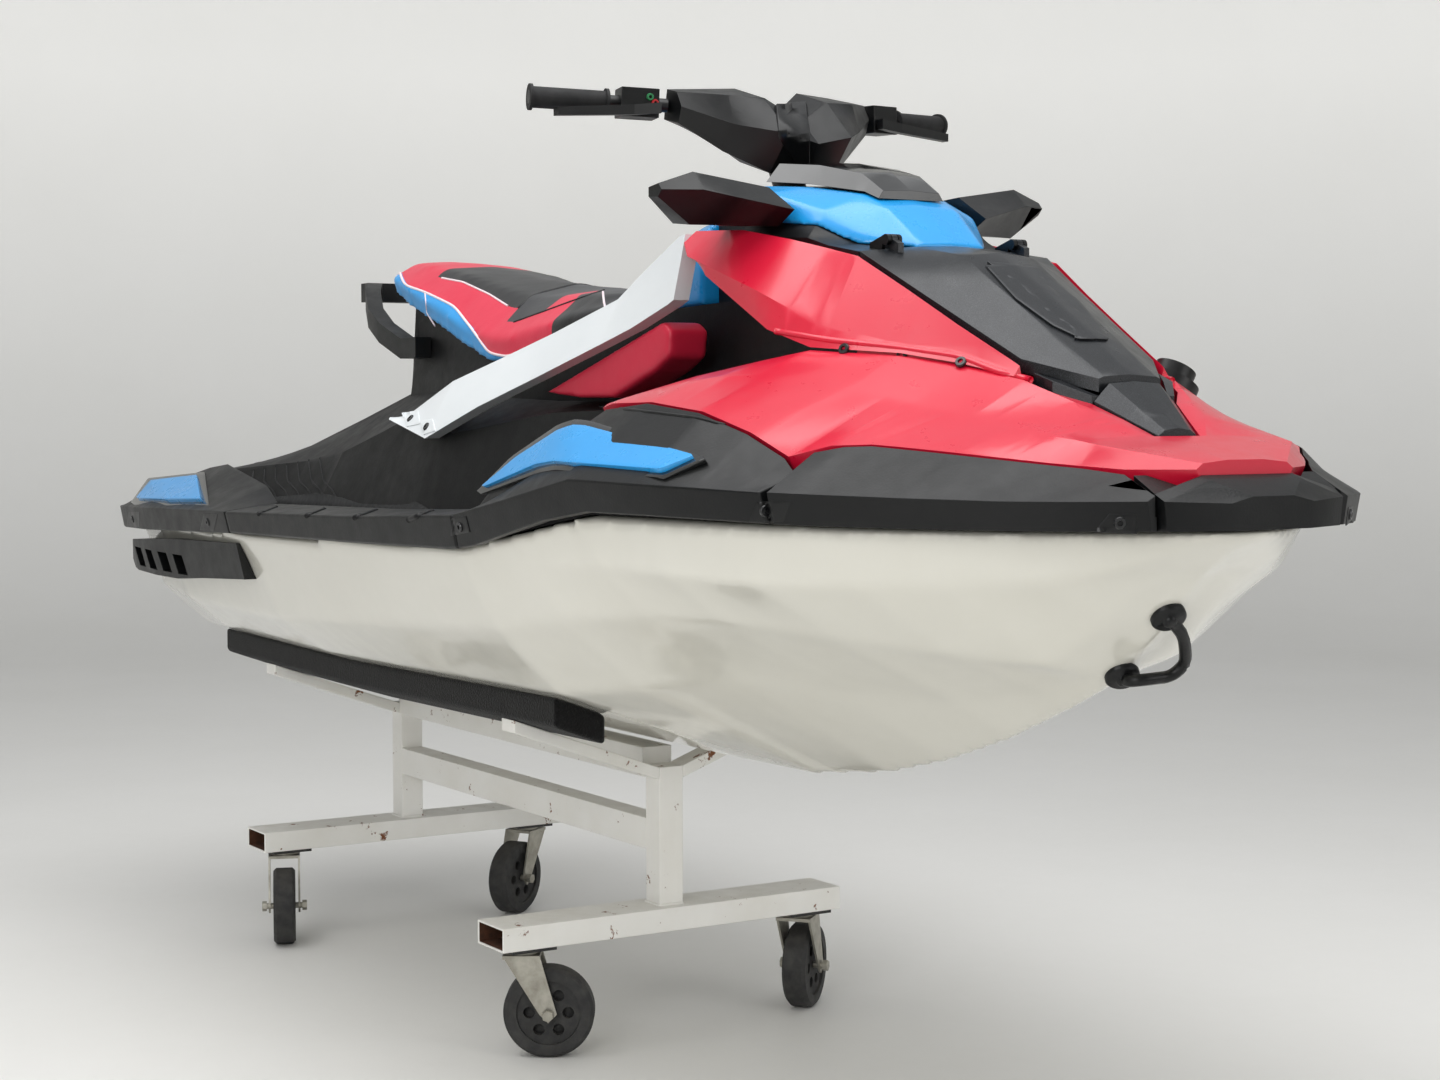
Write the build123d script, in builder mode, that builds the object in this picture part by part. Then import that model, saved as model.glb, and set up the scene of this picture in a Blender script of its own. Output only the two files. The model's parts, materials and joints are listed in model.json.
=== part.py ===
from build123d import *
from math import atan2, cos, degrees, radians, sin
import os

os.makedirs("parts", exist_ok=True)

# Driving sizes of the craft, in millimetres. +X is forward, +Y is port, +Z is up.
hull_length = 3130.0
hull_beam = 1130.0
craft_height = 1113.0
keel_height = 525.0

# Lines of the craft are read in shares: s along from amidships, b out from the middle plane
# and w up from the keel, each a count of these parts of the length, the beam and the height.
length_share = 1 / 313
beam_share = 1 / 113
height_share = 1 / 111.3

# Steering axis: it leans back from the vertical
steering_station_share = 46
steering_height_share = 97
steering_lean = 28.0
stem_diameter = 52.0
stem_length = 80.0

# Clearances and walls
pin_gap = 1.0
seat_gap = 0.3
panel_seam = 3.0
panel_wall = 24.0
running_gap = 6.0
cut_overrun = 20.0


def fore(s):
    return hull_length * length_share * s


def out(b):
    return hull_beam * beam_share * b


def up(w):
    return keel_height + craft_height * height_share * w


steering_plane = Plane(
    origin=(fore(steering_station_share), 0, up(steering_height_share)),
    z_dir=(-sin(radians(steering_lean)), 0, cos(radians(steering_lean))),
)


def read_line(line, s):
    """The columns after s of a table of rows, read at station s between its rows."""
    for start, end in zip(line, line[1:]):
        if start[0] <= s <= end[0]:
            part = (s - start[0]) / (end[0] - start[0])
            return [low + (high - low) * part for low, high in zip(start[1:], end[1:])]
    nearest = line[0] if s < line[0][0] else line[-1]
    return list(nearest[1:])


def spot(line, s, inward=0.0, down=0.0):
    """A corner of a section on that line, moved inward and down by lengths."""
    b, w = read_line(line, s)
    return (out(b) - inward, up(w) - down)


def whole(corners):
    """A half section with its mirror image, for a piece on the middle plane."""
    return corners + [(-y, z) for y, z in reversed(corners) if y != 0]


def ribs(stations, corners, mode=Mode.ADD):
    """A solid drawn straight from section to section along the craft."""
    sections = []
    for s in stations:
        with BuildSketch(Plane.YZ.offset(fore(s))) as section:
            with BuildLine():
                Polyline(*corners(s), close=True)
            make_face()
        sections.append(section.sketch.face())
    loft(sections, ruled=True, mode=mode)


def side_prism(outline_shares, inner, outer, mode=Mode.ADD):
    """A side outline of (s, w) rows as a solid between two distances from the middle plane."""
    with BuildSketch(Plane.XZ.offset(-inner)) as section:
        with BuildLine():
            Polyline(*[(fore(s), up(w)) for s, w in outline_shares], close=True)
        make_face()
    extrude(section.sketch.face(), amount=-(outer - inner), mode=mode)


def write(piece, name):
    piece.part.label = name
    export_step(piece.part, f"parts/{name}.step")


# Lines of the hull: rows of s, b, w
keel_line_shares = [
    (-146, 0, 1.0), (-120, 0, 0), (-60, 0, 0), (35, 0, 0), (55, 0, 0.3), (75, 0, 3.0),
    (90, 0, 6.7), (105, 0, 11.8), (118, 0, 17.5), (127, 0, 22.0), (136, 0, 30.0),
    (143, 0, 37.0), (151, 0, 42.6),
]
bilge_line_shares = [
    (-146, 29, 11.2), (-120, 34, 12.2), (-60, 36, 12.0), (35, 36, 13.5), (55, 33, 16.0),
    (75, 28, 19.0), (90, 19, 18.3), (105, 10, 17.6), (118, 5, 20.0), (127, 3, 23.2),
    (136, 2, 30.9), (143, 1.8, 37.6), (151, 2.5, 42.8),
]
chine_line_shares = [
    (-146, 39, 20.0), (-120, 42, 18.6), (-60, 45.5, 19.0), (35, 47, 24.6), (55, 46.5, 27.6),
    (75, 44, 29.5), (90, 39.5, 29.4), (105, 31, 28.0), (118, 20.5, 26.2), (127, 11.5, 25.0),
    (136, 9, 31.8), (143, 7, 38.2), (151, 4.5, 43.1),
]
crease_line_shares = [
    (-146, 42, 30.0), (-120, 46, 30.0), (-60, 50, 30.0), (35, 52, 33.5), (55, 52, 36.5),
    (75, 51, 37.4), (90, 49, 36.8), (105, 44.5, 36.2), (118, 37, 36.4), (127, 29.5, 36.9),
    (136, 21.5, 37.4), (143, 14, 39.0), (151, 5.5, 43.5),
]
sheer_line_shares = [
    (-146, 44, 35.0), (-120, 49, 35.2), (-60, 53, 35.6), (35, 54, 38.0), (55, 54, 41.0),
    (75, 53, 44.3), (90, 51, 44.4), (105, 47, 44.3), (118, 41, 44.2), (127, 34.5, 44.1),
    (136, 26.5, 44.0), (143, 19, 44.0), (151, 7, 44.0),
]
hull_stations = [row[0] for row in keel_line_shares]

# Lines of the bumper ring: its outer top edge, its foot and its inner top edge
knee_line_shares = [
    (-156.5, 45, 37.2), (-148, 47.5, 37.4), (-120, 52.3, 38.2), (-60, 56, 39.7), (0, 56.5, 41.2), (39, 56.5, 43.0),
    (56, 56.5, 45.8), (75, 56, 49.3), (95, 54.5, 49.0), (110, 49.8, 48.6), (118, 46, 48.4),
    (130, 38.8, 48.1), (141, 31, 47.9), (147, 25.2, 47.9), (153.2, 16.0, 47.9),
]
foot_line_shares = [
    (-156.5, 44.6, 32.6), (-148, 47.1, 32.8), (-120, 51.9, 33.6), (-60, 55.5, 35.6), (0, 56, 36.6), (36, 56, 37.4),
    (44, 56, 38.5), (56, 56, 41.0), (67, 56, 43.3), (79, 55.3, 44.9), (95, 54, 44.8),
    (110, 49.3, 44.5), (118, 45.5, 44.3), (130, 38.3, 44.2), (141, 30.5, 44.2),
    (147, 24.8, 44.2), (153.2, 15.8, 44.2),
]

# Lines of the bodywork: rows of s, b, w
seam_line_shares = [
    (60, 43, 58.9), (66, 43.6, 60.0), (78, 44, 60.2), (92, 44, 58.9), (102.7, 43, 56.1),
    (110.3, 42, 53.0), (115.9, 39, 54.5), (121.4, 36, 54.7), (128.9, 32, 54.0),
    (135, 26, 53.1), (141, 21, 52.3), (146.4, 15.5, 51.7), (151.6, 8, 51.7),
]
swell_line_shares = [
    (60, 42.6, 59.4), (66, 42.6, 60.5), (76.8, 38.5, 62.9), (86.9, 35, 64.2), (97.3, 30, 63.7),
    (113.8, 25, 60.3), (128, 21, 57.4), (142.5, 17, 54.8), (151.6, 7, 52.4),
]
brow_line_shares = [
    (60, 42.2, 59.6), (66, 41.6, 60.8), (74.4, 34.5, 63.9), (84.7, 29, 66.2), (90.2, 25, 67.5),
    (104.8, 20, 66.5), (113.8, 16, 65.1), (123.7, 13.4, 63.0), (134.7, 8.5, 58.3),
    (139.7, 4.6, 55.5), (146.4, 3.5, 54.0), (151.6, 3.0, 52.8),
]
fairing_low_shares = [
    (48.4, 21, 86.7), (61.8, 25, 79.3), (73.9, 25.5, 73.6), (80.4, 26, 70.7), (90.2, 25, 67.9),
    (104.8, 20, 66.9), (113.8, 16.4, 65.4), (123.7, 13.2, 63.2),
]
fairing_crease_shares = [
    (48.4, 21.2, 86.8), (56.4, 25, 82.5), (78.1, 25.6, 76.1), (90.1, 24, 71.3),
    (103.4, 19, 68.3), (111.8, 15.8, 67.4), (123.7, 12.9, 63.6),
]
fairing_top_shares = [
    (48.4, 20.6, 86.9), (65.7, 21, 86.1), (77, 19.6, 84.1), (84.4, 18.4, 82.5),
    (92.2, 18.2, 80.9), (101.4, 16.3, 75.9), (111, 14.7, 70.7), (121, 12.9, 65.5),
    (123.7, 12.5, 64.0),
]
hood_edge_shares = [
    (91.2, 17.2, 81.7), (101.4, 15.2, 76.2), (121, 11.7, 65.9), (129.5, 5.4, 63.2),
]
hood_crease_shares = [(91.2, 7.5, 82.6), (101.4, 6.3, 80.8), (121, 5.2, 68.6), (129.5, 4.6, 63.5)]
hood_crown_shares = [(91.2, 0, 82.9), (101.4, 0, 81.4), (121, 0, 69.4), (129.5, 0, 63.8)]
cowl_low_shares = [
    (60, 17.9, 88.0), (66.6, 17.5, 87.4), (77.2, 15.3, 86.2), (82.6, 12.2, 83.4), (90.2, 6.2, 82.4),
]
cowl_side_shares = [
    (60, 17.7, 92.2), (66.6, 17, 91.8), (77.2, 14, 88.4), (82.6, 11.4, 85.2), (90.2, 6.0, 82.8),
]
cowl_ridge_shares = [
    (60, 14, 93.4), (66.6, 11.6, 92.9), (77.2, 7.2, 91.2), (82.6, 6.6, 89.0), (90.2, 5.7, 83.1),
]
cowl_crown_shares = [
    (60, 0, 94.0), (66.6, 0, 93.3), (77.2, 0, 91.6), (82.6, 0, 89.4), (90.2, 0, 83.3),
]
shoulder_edge_shares = [(60, 17.4, 85.6), (77.2, 16.8, 84.4), (82.6, 16.8, 83.0), (91, 16.8, 81.6)]
lip_line_shares = [
    (60, 41.6, 59.3), (66, 41.0, 60.5), (74.4, 33.9, 63.6), (84.7, 28.4, 65.9), (90.2, 24.4, 67.2),
    (104.8, 19.4, 66.2), (113.8, 15.4, 64.8), (123.7, 12.3, 62.7), (126.6, 11.2, 61.4),
    (130.4, 7.5, 59.9), (134.7, 5.6, 57.8),
    (139.7, 3.6, 55.2), (151.6, 2.0, 52.9),
]
fairing_root_shares = [(48.4, 14.03), (104, 14.03), (113, 13.0), (121, 11.9), (126, 10.9)]
fairing_flange = 4.0
trim_edge_shares = [(130.4, 7.0, 60.2), (138.9, 3.3, 55.7)]
trim_crease_shares = [(130.4, 4.4, 62.6), (138.9, 2.2, 56.4)]

# Hull: one moulded shell, decked over, with its engine bay, pump tunnel and intake
engine_length = 520.0
engine_width = 340.0
engine_height = 380.0
engine_station_share = -16
engine_floor_share = 9
bay_clearance = 12.0
tunnel_half_width = 180.0
tunnel_roof_half_width = 120.0
tunnel_height = 290.0
tunnel_length = 350.0
intake_half_width = 85.0
intake_length = 420.0
intake_throat = 165.0
hull_stern = fore(hull_stations[0])
engine_floor = up(engine_floor_share)
engine_middle = fore(engine_station_share)
engine_rear = engine_middle - engine_length / 2
tunnel_end = hull_stern + tunnel_length

# Jet pump: all of its rings share one axis
pump_bore = 158.0
pump_outer = 186.0
pump_length = 250.0
pump_axis_height = 125.0
shaft_diameter = 26.0
pump_axis = keel_height + pump_axis_height
pump_front = tunnel_end - seat_gap
pump_stern = pump_front - pump_length


def hull_section(s):
    return whole([
        spot(keel_line_shares, s), spot(bilge_line_shares, s), spot(chine_line_shares, s),
        spot(crease_line_shares, s), spot(sheer_line_shares, s),
        (0, up(read_line(sheer_line_shares, s)[1])),
    ])


with BuildPart() as hull:
    ribs(hull_stations, hull_section)
    with BuildSketch(Plane.XY.offset(engine_floor)):
        with Locations((engine_middle, 0)):
            Rectangle(engine_length + 2 * bay_clearance, engine_width + 2 * bay_clearance)
    extrude(amount=craft_height, mode=Mode.SUBTRACT)
    with BuildSketch(Plane.YZ.offset(hull_stern - cut_overrun)):
        with BuildLine():
            Polyline(
                (-tunnel_half_width, 0), (tunnel_half_width, 0),
                (tunnel_half_width, pump_axis),
                (tunnel_roof_half_width, keel_height + tunnel_height),
                (-tunnel_roof_half_width, keel_height + tunnel_height),
                (-tunnel_half_width, pump_axis), close=True,
            )
        make_face()
    extrude(amount=tunnel_length + cut_overrun, mode=Mode.SUBTRACT)
    with BuildSketch(Plane.XZ.offset(-intake_half_width)):
        with BuildLine():
            Polyline(
                (tunnel_end - cut_overrun, keel_height - cut_overrun),
                (tunnel_end + intake_length, keel_height - cut_overrun),
                (tunnel_end + intake_length, keel_height),
                (tunnel_end, pump_axis + intake_throat / 2),
                (tunnel_end - cut_overrun, pump_axis + intake_throat / 2), close=True,
            )
        make_face()
    extrude(amount=2 * intake_half_width, mode=Mode.SUBTRACT)
    with BuildSketch(Plane.YZ.offset(tunnel_end - cut_overrun)):
        with Locations((0, pump_axis)):
            Circle(shaft_diameter / 2 + running_gap)
    extrude(amount=engine_rear - tunnel_end + cut_overrun, mode=Mode.SUBTRACT)
write(hull, "hull")

with BuildPart() as engine:
    with BuildSketch(Plane.XY.offset(engine_floor)):
        with Locations((engine_middle, 0)):
            Rectangle(engine_length, engine_width)
    extrude(amount=engine_height)
    with BuildSketch(Plane.YZ.offset(engine_rear - cut_overrun)):
        with Locations((0, pump_axis)):
            Circle(shaft_diameter / 2 + pin_gap)
    extrude(amount=3 * cut_overrun, mode=Mode.SUBTRACT)
write(engine, "engine_block")

# Seat: rows of s with half-width and height of its foot, its side and its top edge, and its crown
seat_rows_shares = [
    (-88, 6, 85.0, 7.5, 86.2, 4, 87.6, 88.0),
    (-80, 12, 82.6, 13.5, 85.8, 8, 88.0, 88.5),
    (-68, 14.4, 79.4, 16, 83.0, 10, 87.0, 87.6),
    (-51, 16, 74.9, 17.5, 78.2, 10.5, 84.4, 85.2),
    (-41, 16.8, 71.8, 18, 75.0, 10.5, 82.2, 83.6),
    (-26, 18, 67.8, 18.8, 71.6, 10.5, 79.4, 82.0),
    (-19, 18, 67.7, 18.6, 71.4, 10.5, 78.8, 81.2),
    (0, 17, 71.4, 17.4, 74.8, 11, 78.6, 79.6),
    (12, 15, 74.6, 15.4, 77.0, 11, 78.2, 78.6),
]

# Deck: rows of s with half-width and height of the floor's edge, the shoulder, the waist
# above it and the top under the seat
deck_rows_shares = [
    (-150, 37.5, 37.0, 36, 39.8, 28, 41.5, 27, 41.8),
    (-118, 39.5, 37.2, 36, 45.8, 20, 48.5, 19, 49.0),
    (-84, 37, 37.8, 30, 48.4, 18, 56.0, 17, 57.0),
    (-69, 35, 38.0, 29, 50.2, 14, 61.4, 13, 62.2),
    (-68, 35, 38.0, 29, 50.4, 14, 61.5, 13, 79.3),
    (-51, 34, 38.1, 28, 54.6, 16, 62.4, 14, 74.8),
    (-41, 34, 38.2, 27.0, 57.4, 17, 63.0, 15, 71.7),
    (-26, 34, 38.3, 28.4, 56.0, 18, 62.0, 16, 67.7),
    (-19, 33, 38.4, 28.6, 54.6, 18, 61.0, 16, 67.6),
    (0, 30, 38.8, 26, 57.0, 17, 60.4, 15, 71.3),
    (12, 28.5, 39.2, 25, 58.4, 17, 60.4, 14, 74.57),
    (50, 27, 42.4, 22, 59.4, 14, 60.6, 13.8, 76.0),
    (75, 26.6, 46.4, 22, 59.4, 14, 62.4, 13.8, 75.0),
    (96, 26, 46.6, 22, 59.4, 14, 64.0, 13.8, 74.0),
]
deck_floor_rise = 20.0
deck_edge_share = 1.0
core_half_width_share = 14
core_stations = [91, 101.4, 113, 121, 126]
base_stations = [
    97, 102.7, 104.8, 110.3, 113.8, 115.9, 118, 121, 123.7, 126.6, 130.4, 134.7, 136, 139.4,
    142.5, 146.4, 151,
]
hood_wall = 18.0
neck_station_share = 49.5
neck_floor_share = 70
neck_length = 160.0
neck_width = 200.0
neck_height = 236.0
bin_front_share = 119
bin_rear_share = 98
bin_floor_share = 48
bin_half_width_share = 8.5
core_inset = panel_wall + seat_gap


def deck_sheet(s):
    b, w = read_line(sheer_line_shares, s)
    return whole([
        (0, up(w)), (out(b - deck_edge_share), up(w)),
        (out(b - deck_edge_share), up(w) + deck_floor_rise), (0, up(w) + deck_floor_rise),
    ])


def with_hull_stations(stations):
    """Those stations and the hull's own between the first and the last of them."""
    between = [s for s in hull_stations if stations[0] < s < stations[-1]]
    return sorted(set(stations + between))


def deck_root(s):
    """Height inside the deck sheet from which the raised parts of the deck grow."""
    return up(read_line(sheer_line_shares, s)[1]) + deck_floor_rise / 2


def pedestal_section(s):
    row = read_line(deck_rows_shares, s)
    root = deck_root(s)
    corners = [(out(b), up(w)) for b, w in zip(row[0::2], row[1::2])]
    crown = corners[-1][1]
    if deck_rows_shares[4][0] <= s <= seat_rows_shares[-1][0]:
        crown = up(read_line(seat_rows_shares, s)[1]) - seat_gap
    corners[-1] = (corners[-1][0], crown)
    return whole([(0, root), (corners[0][0], root)] + corners + [(0, crown)])


def core_section(s):
    floor = deck_root(s)
    inset = hood_wall + 2 * running_gap
    edge_y, edge = spot(hood_edge_shares, s, down=inset)
    half = min(out(core_half_width_share), edge_y - panel_wall / 2)
    crease_y, crown = spot(hood_crease_shares, s, down=inset)
    shoulder = min(crease_y, half) - panel_wall / 2
    return whole([(0, floor), (half, floor), (half, edge), (shoulder, crown), (0, crown)])


def binnacle_section(s):
    floor = deck_root(s)
    half = out(core_half_width_share)
    edge = spot(shoulder_edge_shares, s, down=core_inset)[1]
    return whole([(0, floor), (half, floor), (half, edge), (0, edge)])


def base_section(s):
    floor = deck_root(s)
    seam_y, seam_z = spot(seam_line_shares, s, inward=core_inset, down=core_inset)
    swell_y, swell_z = spot(swell_line_shares, s, inward=core_inset, down=core_inset)
    brow_y, brow_z = spot(brow_line_shares, s, inward=core_inset, down=core_inset)
    brow_y = min(brow_y, spot(lip_line_shares, s, inward=seat_gap)[0])
    floor_y = min(out(read_line(sheer_line_shares, s)[0] - deck_edge_share), seam_y)
    return whole([
        (0, floor), (floor_y, floor), (seam_y, seam_z), (swell_y, swell_z),
        (max(brow_y, panel_wall / 2), brow_z), (0, brow_z),
    ])


with BuildPart() as deck:
    ribs(hull_stations[:-1] + [150], deck_sheet)
    ribs(with_hull_stations([row[0] for row in deck_rows_shares]), pedestal_section)
    ribs(base_stations, base_section)
    ribs(core_stations, core_section)
    ribs([row[0] for row in shoulder_edge_shares], binnacle_section)
    with BuildSketch(Plane.XY.offset(engine_floor)):
        with Locations((engine_middle, 0)):
            Rectangle(engine_length + 2 * bay_clearance, engine_width + 2 * bay_clearance)
    extrude(amount=engine_height + bay_clearance, mode=Mode.SUBTRACT)
    with BuildSketch(Plane.XY.offset(up(neck_floor_share))):
        with Locations((fore(neck_station_share), 0)):
            Rectangle(neck_length, neck_width)
    extrude(amount=neck_height)
    with BuildSketch(steering_plane):
        Circle(stem_diameter / 2 + pin_gap)
    extrude(amount=-stem_length - running_gap, mode=Mode.SUBTRACT)
    with BuildSketch(Plane.XY.offset(up(bin_floor_share))):
        with Locations(((fore(bin_front_share) + fore(bin_rear_share)) / 2, 0)):
            Rectangle(fore(bin_front_share - bin_rear_share), 2 * out(bin_half_width_share))
    extrude(amount=craft_height, mode=Mode.SUBTRACT)
write(deck, "deck")


# Bumper ring: rows of s with the inner top edge of each moulding
rear_inner_shares = [
    (-156.5, 38, 38.6), (-148, 40, 41.3), (-109, 41, 46.8), (-99, 41, 47.7), (-70, 44, 44.2),
    (-62, 45, 41.2),
]
sill_inner_shares = [(-61, 45.5, 41.0), (0, 46, 42.2), (38, 46.5, 43.6)]
wing_inner_shares = [
    (38.6, 46.5, 44.2), (58, 45, 56.2), (65.5, 44.3, 59.2), (78, 44.6, 60.1), (92, 44.6, 58.8),
    (102.7, 43.6, 56.0), (110.3, 42.6, 52.9), (113, 42.4, 50.6),
]
front_inner_shares = [
    (114, 40.5, 53.6), (115.9, 39.5, 54.3), (121.4, 36.5, 54.5), (128.9, 32.5, 53.8), (135, 26.6, 52.9),
    (141, 21.6, 52.1), (146.4, 16.2, 51.4), (152.4, 15.9, 48.6),
]
bumper_foot = 12.0
bumper_undercut = 5.0
bow_half_share = 15.57
bow_joint_share = 15.6
bow_foot_share = 44.2
bow_rows_shares = [
    (151.8, 15.5, 51.0, 48.8), (153.4, 15.3, 50.4, 47.9), (156.5, 7.0, 48.4, 47.6),
]
bow_wedge_shares = [(148, 51.0), (151.8, 48.9)]


def bumper_section(inner, s):
    """Inner top edge, knee and foot, then the root around the edge of the deck and hull."""
    inner_corner = spot(inner, s)
    foot_y, foot_z = spot(foot_line_shares, s)
    sheer_y, sheer_z = spot(sheer_line_shares, s)
    root_y = min(sheer_y + seat_gap, foot_y - bumper_undercut - bumper_foot)
    root_y = max(root_y, out(bow_joint_share))
    seat_z = sheer_z + deck_floor_rise + seat_gap
    return [
        inner_corner, spot(knee_line_shares, s), (foot_y - bumper_undercut, foot_z),
        (root_y, foot_z), (root_y, seat_z), (inner_corner[0], seat_z),
    ]


def bumper(stations, inner):
    ribs(with_hull_stations(stations), lambda s: bumper_section(inner, s))
    mirror(about=Plane.XZ)


with BuildPart() as rear_bumpers:
    bumper([-156.5, -148, -120, -109, -99, -70, -62], rear_inner_shares)
write(rear_bumpers, "rear_bumpers")

with BuildPart() as sills:
    bumper([-61.6, 0, 38], sill_inner_shares)
write(sills, "sills")

with BuildPart() as side_wings:
    bumper([38.6, 44, 58, 65.5, 78, 92, 102.7, 110.3, 113], wing_inner_shares)
write(side_wings, "side_wings")

with BuildPart() as front_bumpers:
    bumper([114, 118, 121.4, 130, 135, 141, 147, 152.4], front_inner_shares)
write(front_bumpers, "front_bumpers")

def bow_section(s):
    half_b, top_w, knee_w = read_line(bow_rows_shares, s)
    return whole([
        (0, up(bow_foot_share)), (out(half_b) - bumper_undercut, up(bow_foot_share)),
        (out(half_b), up(knee_w)), (out(half_b) / 2, up(top_w)), (0, up(top_w)),
    ])


def bow_wedge(s):
    """The tongue of the bow bumper between the lower cowl and the joint."""
    inner = max(out(read_line(sheer_line_shares, s)[0]), out(read_line(seam_line_shares, s)[0]))
    inner = min(inner + panel_seam, out(bow_half_share) - panel_seam)
    outer, top = out(bow_half_share), up(read_line(bow_wedge_shares, s)[0])
    foot = up(bow_foot_share)
    return [(inner, foot), (outer, foot), (outer, top), (inner, top)]


with BuildPart() as bow_bumper:
    ribs([row[0] for row in bow_wedge_shares], bow_wedge)
    mirror(about=Plane.XZ)
    ribs([row[0] for row in bow_rows_shares], bow_section)
write(bow_bumper, "bow_bumper")


def arch(outer, inner):
    """A half path outside and one inside, both ending on the middle plane, as a closed shell."""
    return (
        outer + [(-y, z) for y, z in reversed(outer[:-1])]
        + [(-y, z) for y, z in inner] + list(reversed(inner[:-1]))
    )


def shell_path(lines, s, inward=0.0, down=0.0):
    return [spot(line, s, inward, down) for line in lines]


# Lower cowl: one moulding that runs up both sides and over the nose
cowl_lines = [seam_line_shares, swell_line_shares, brow_line_shares, lip_line_shares]
cowl_side_stations = [62.5, 66, 74.4, 78, 84.7, 90.2, 92] + base_stations[:-3]
cowl_nose_stations = [139.4, 142.5, 146.4, 151.4]


def cowl_side_section(s):
    inner = shell_path(cowl_lines[:2], s, inward=panel_wall / 2, down=panel_wall)
    brow_z = spot(brow_line_shares, s, down=panel_wall)[1]
    lip = (spot(lip_line_shares, s)[0], brow_z)
    return shell_path(cowl_lines, s) + [lip] + list(reversed(inner))


def cowl_nose_section(s):
    top = up(read_line(brow_line_shares, s)[1])
    outer = shell_path(cowl_lines[:3], s) + [(0, top)]
    inner = shell_path(cowl_lines[:2], s, inward=panel_wall / 2, down=panel_wall)
    return arch(outer, inner + [(out(1), top - panel_wall), (0, top - panel_wall)])


# The filler cap's place on that moulding, its tilt and its sizes
cap_station_share = 114
cap_out_share = 21
cap_height_share = 62.4
cap_tilt = 28.8
cap_diameter = 84.0
cap_rise = 16.0
cap_knob_diameter = 60.0
cap_knob_rise = 20.0
cap_pocket_depth = 7.0
cap_slope = radians(cap_tilt)
cap_plane = Plane(
    origin=(fore(cap_station_share), out(cap_out_share), up(cap_height_share)), x_dir=(1, 0, 0),
    z_dir=(0, sin(cap_slope), cos(cap_slope)),
).offset(-cap_pocket_depth)

with BuildPart() as lower_cowl:
    ribs(cowl_side_stations, cowl_side_section)
    mirror(about=Plane.XZ)
    ribs(cowl_nose_stations, cowl_nose_section)
    with BuildSketch(cap_plane.offset(-seat_gap)):
        Circle(cap_diameter / 2 + pin_gap)
    extrude(amount=cap_rise + cap_knob_rise, mode=Mode.SUBTRACT)
write(lower_cowl, "lower_cowl")

# Upper side fairings, from the steering column down to the nose
fairing_stations = [
    52, 56.4, 61.8, 66, 73.9, 77, 80.4, 84.4, 90.1, 92.2, 96.9, 97.1, 101.4, 104.8, 111, 113.8, 121, 122,
]


def fairing_section(s):
    """Top, crease and low edge, then the underside, stepped where it rests on the lower cowl."""
    top = spot(fairing_top_shares, s)
    low = spot(fairing_low_shares, s)
    root = min(out(read_line(fairing_root_shares, s)[0]), top[0] - panel_wall / 2)
    if s < base_stations[0]:
        floor = min(low[1] - panel_seam, top[1] - 3 * panel_wall)
        ledge = top[1] - 2 * panel_wall
        step = [(low[0] - panel_wall, low[1]), (low[0] - 2 * panel_wall, floor)]
        flange = root + panel_seam
    else:
        floor = up(read_line(brow_line_shares, s)[1]) - panel_wall + seat_gap
        lip = spot(lip_line_shares, s, inward=panel_seam)[0]
        ledge = max(floor + panel_seam, top[1] - 2 * panel_wall)
        step = [(lip, low[1]), (lip, floor)]
        flange = min(top[0] - fairing_flange, lip - 2 * panel_seam)
    if s > hood_edge_shares[0][0]:
        rim = spot(hood_edge_shares, s, down=hood_wall + running_gap)[1]
        ledge = max(floor + panel_seam, min(ledge, rim))
        flange = max(flange, min(top[0] - fairing_flange, low[0] - 2 * panel_wall))
    return [top, spot(fairing_crease_shares, s), low] + step + [
        (root, floor), (root, ledge), (flange, ledge),
    ]


with BuildPart() as side_fairings:
    ribs(fairing_stations, fairing_section)
    mirror(about=Plane.XZ)
write(side_fairings, "side_fairings")

# Hood over the forward bin, hinged at its rear edge
hood_stations = [row[0] for row in hood_crease_shares]

def hood_section(s):
    lines = [hood_edge_shares, hood_crease_shares, hood_crown_shares]
    inner = shell_path(lines, s, down=hood_wall)
    edge_y, edge_z = spot(hood_edge_shares, s)
    inner[0] = (edge_y - hood_wall, edge_z - hood_wall)
    inner[1] = (min(inner[1][0], inner[0][0] - panel_seam), inner[1][1])
    return arch([(edge_y, edge_z - hood_wall)] + shell_path(lines, s), inner)


# Hinge at the hood's rear edge: a knuckle on the hood turns on a pin between two lugs
hinge_station_share = 91.2
hinge_height_share = 83.5
hinge_out_share = 11.5
hinge_pin_diameter = 8.0
hinge_eye_diameter = 16.0
knuckle_width = 10.0
lug_width = 6.0
lug_gap = 1.5
knuckle_foot_shares = [(91.25, 83.5), (91.25, 81.7), (93.4, 81.5), (93.4, 82.9), (92, 83.5)]
lug_leg_shares = [(91.2, 84.3), (90.6, 83.0), (90.1, 81.2), (87.4, 81.6), (87.4, 83.2)]


def hinge_disc(diameter, middle, width, mode=Mode.ADD):
    """A disc across the hinge axis, with its middle at that distance out."""
    with BuildSketch(Plane.XZ.offset(-middle - width / 2)) as section:
        with Locations((fore(hinge_station_share), up(hinge_height_share))):
            Circle(diameter / 2)
    extrude(section.sketch.face(), amount=width, mode=mode)


with BuildPart() as hood:
    ribs(hood_stations, hood_section)
    knuckle = out(hinge_out_share)
    side_prism(knuckle_foot_shares, knuckle - knuckle_width / 2, knuckle + knuckle_width / 2)
    hinge_disc(hinge_eye_diameter, knuckle, knuckle_width)
    hinge_disc(hinge_pin_diameter + 2 * pin_gap, knuckle, 2 * knuckle_width, mode=Mode.SUBTRACT)
    mirror(about=Plane.XZ)
write(hood, "hood")

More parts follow.
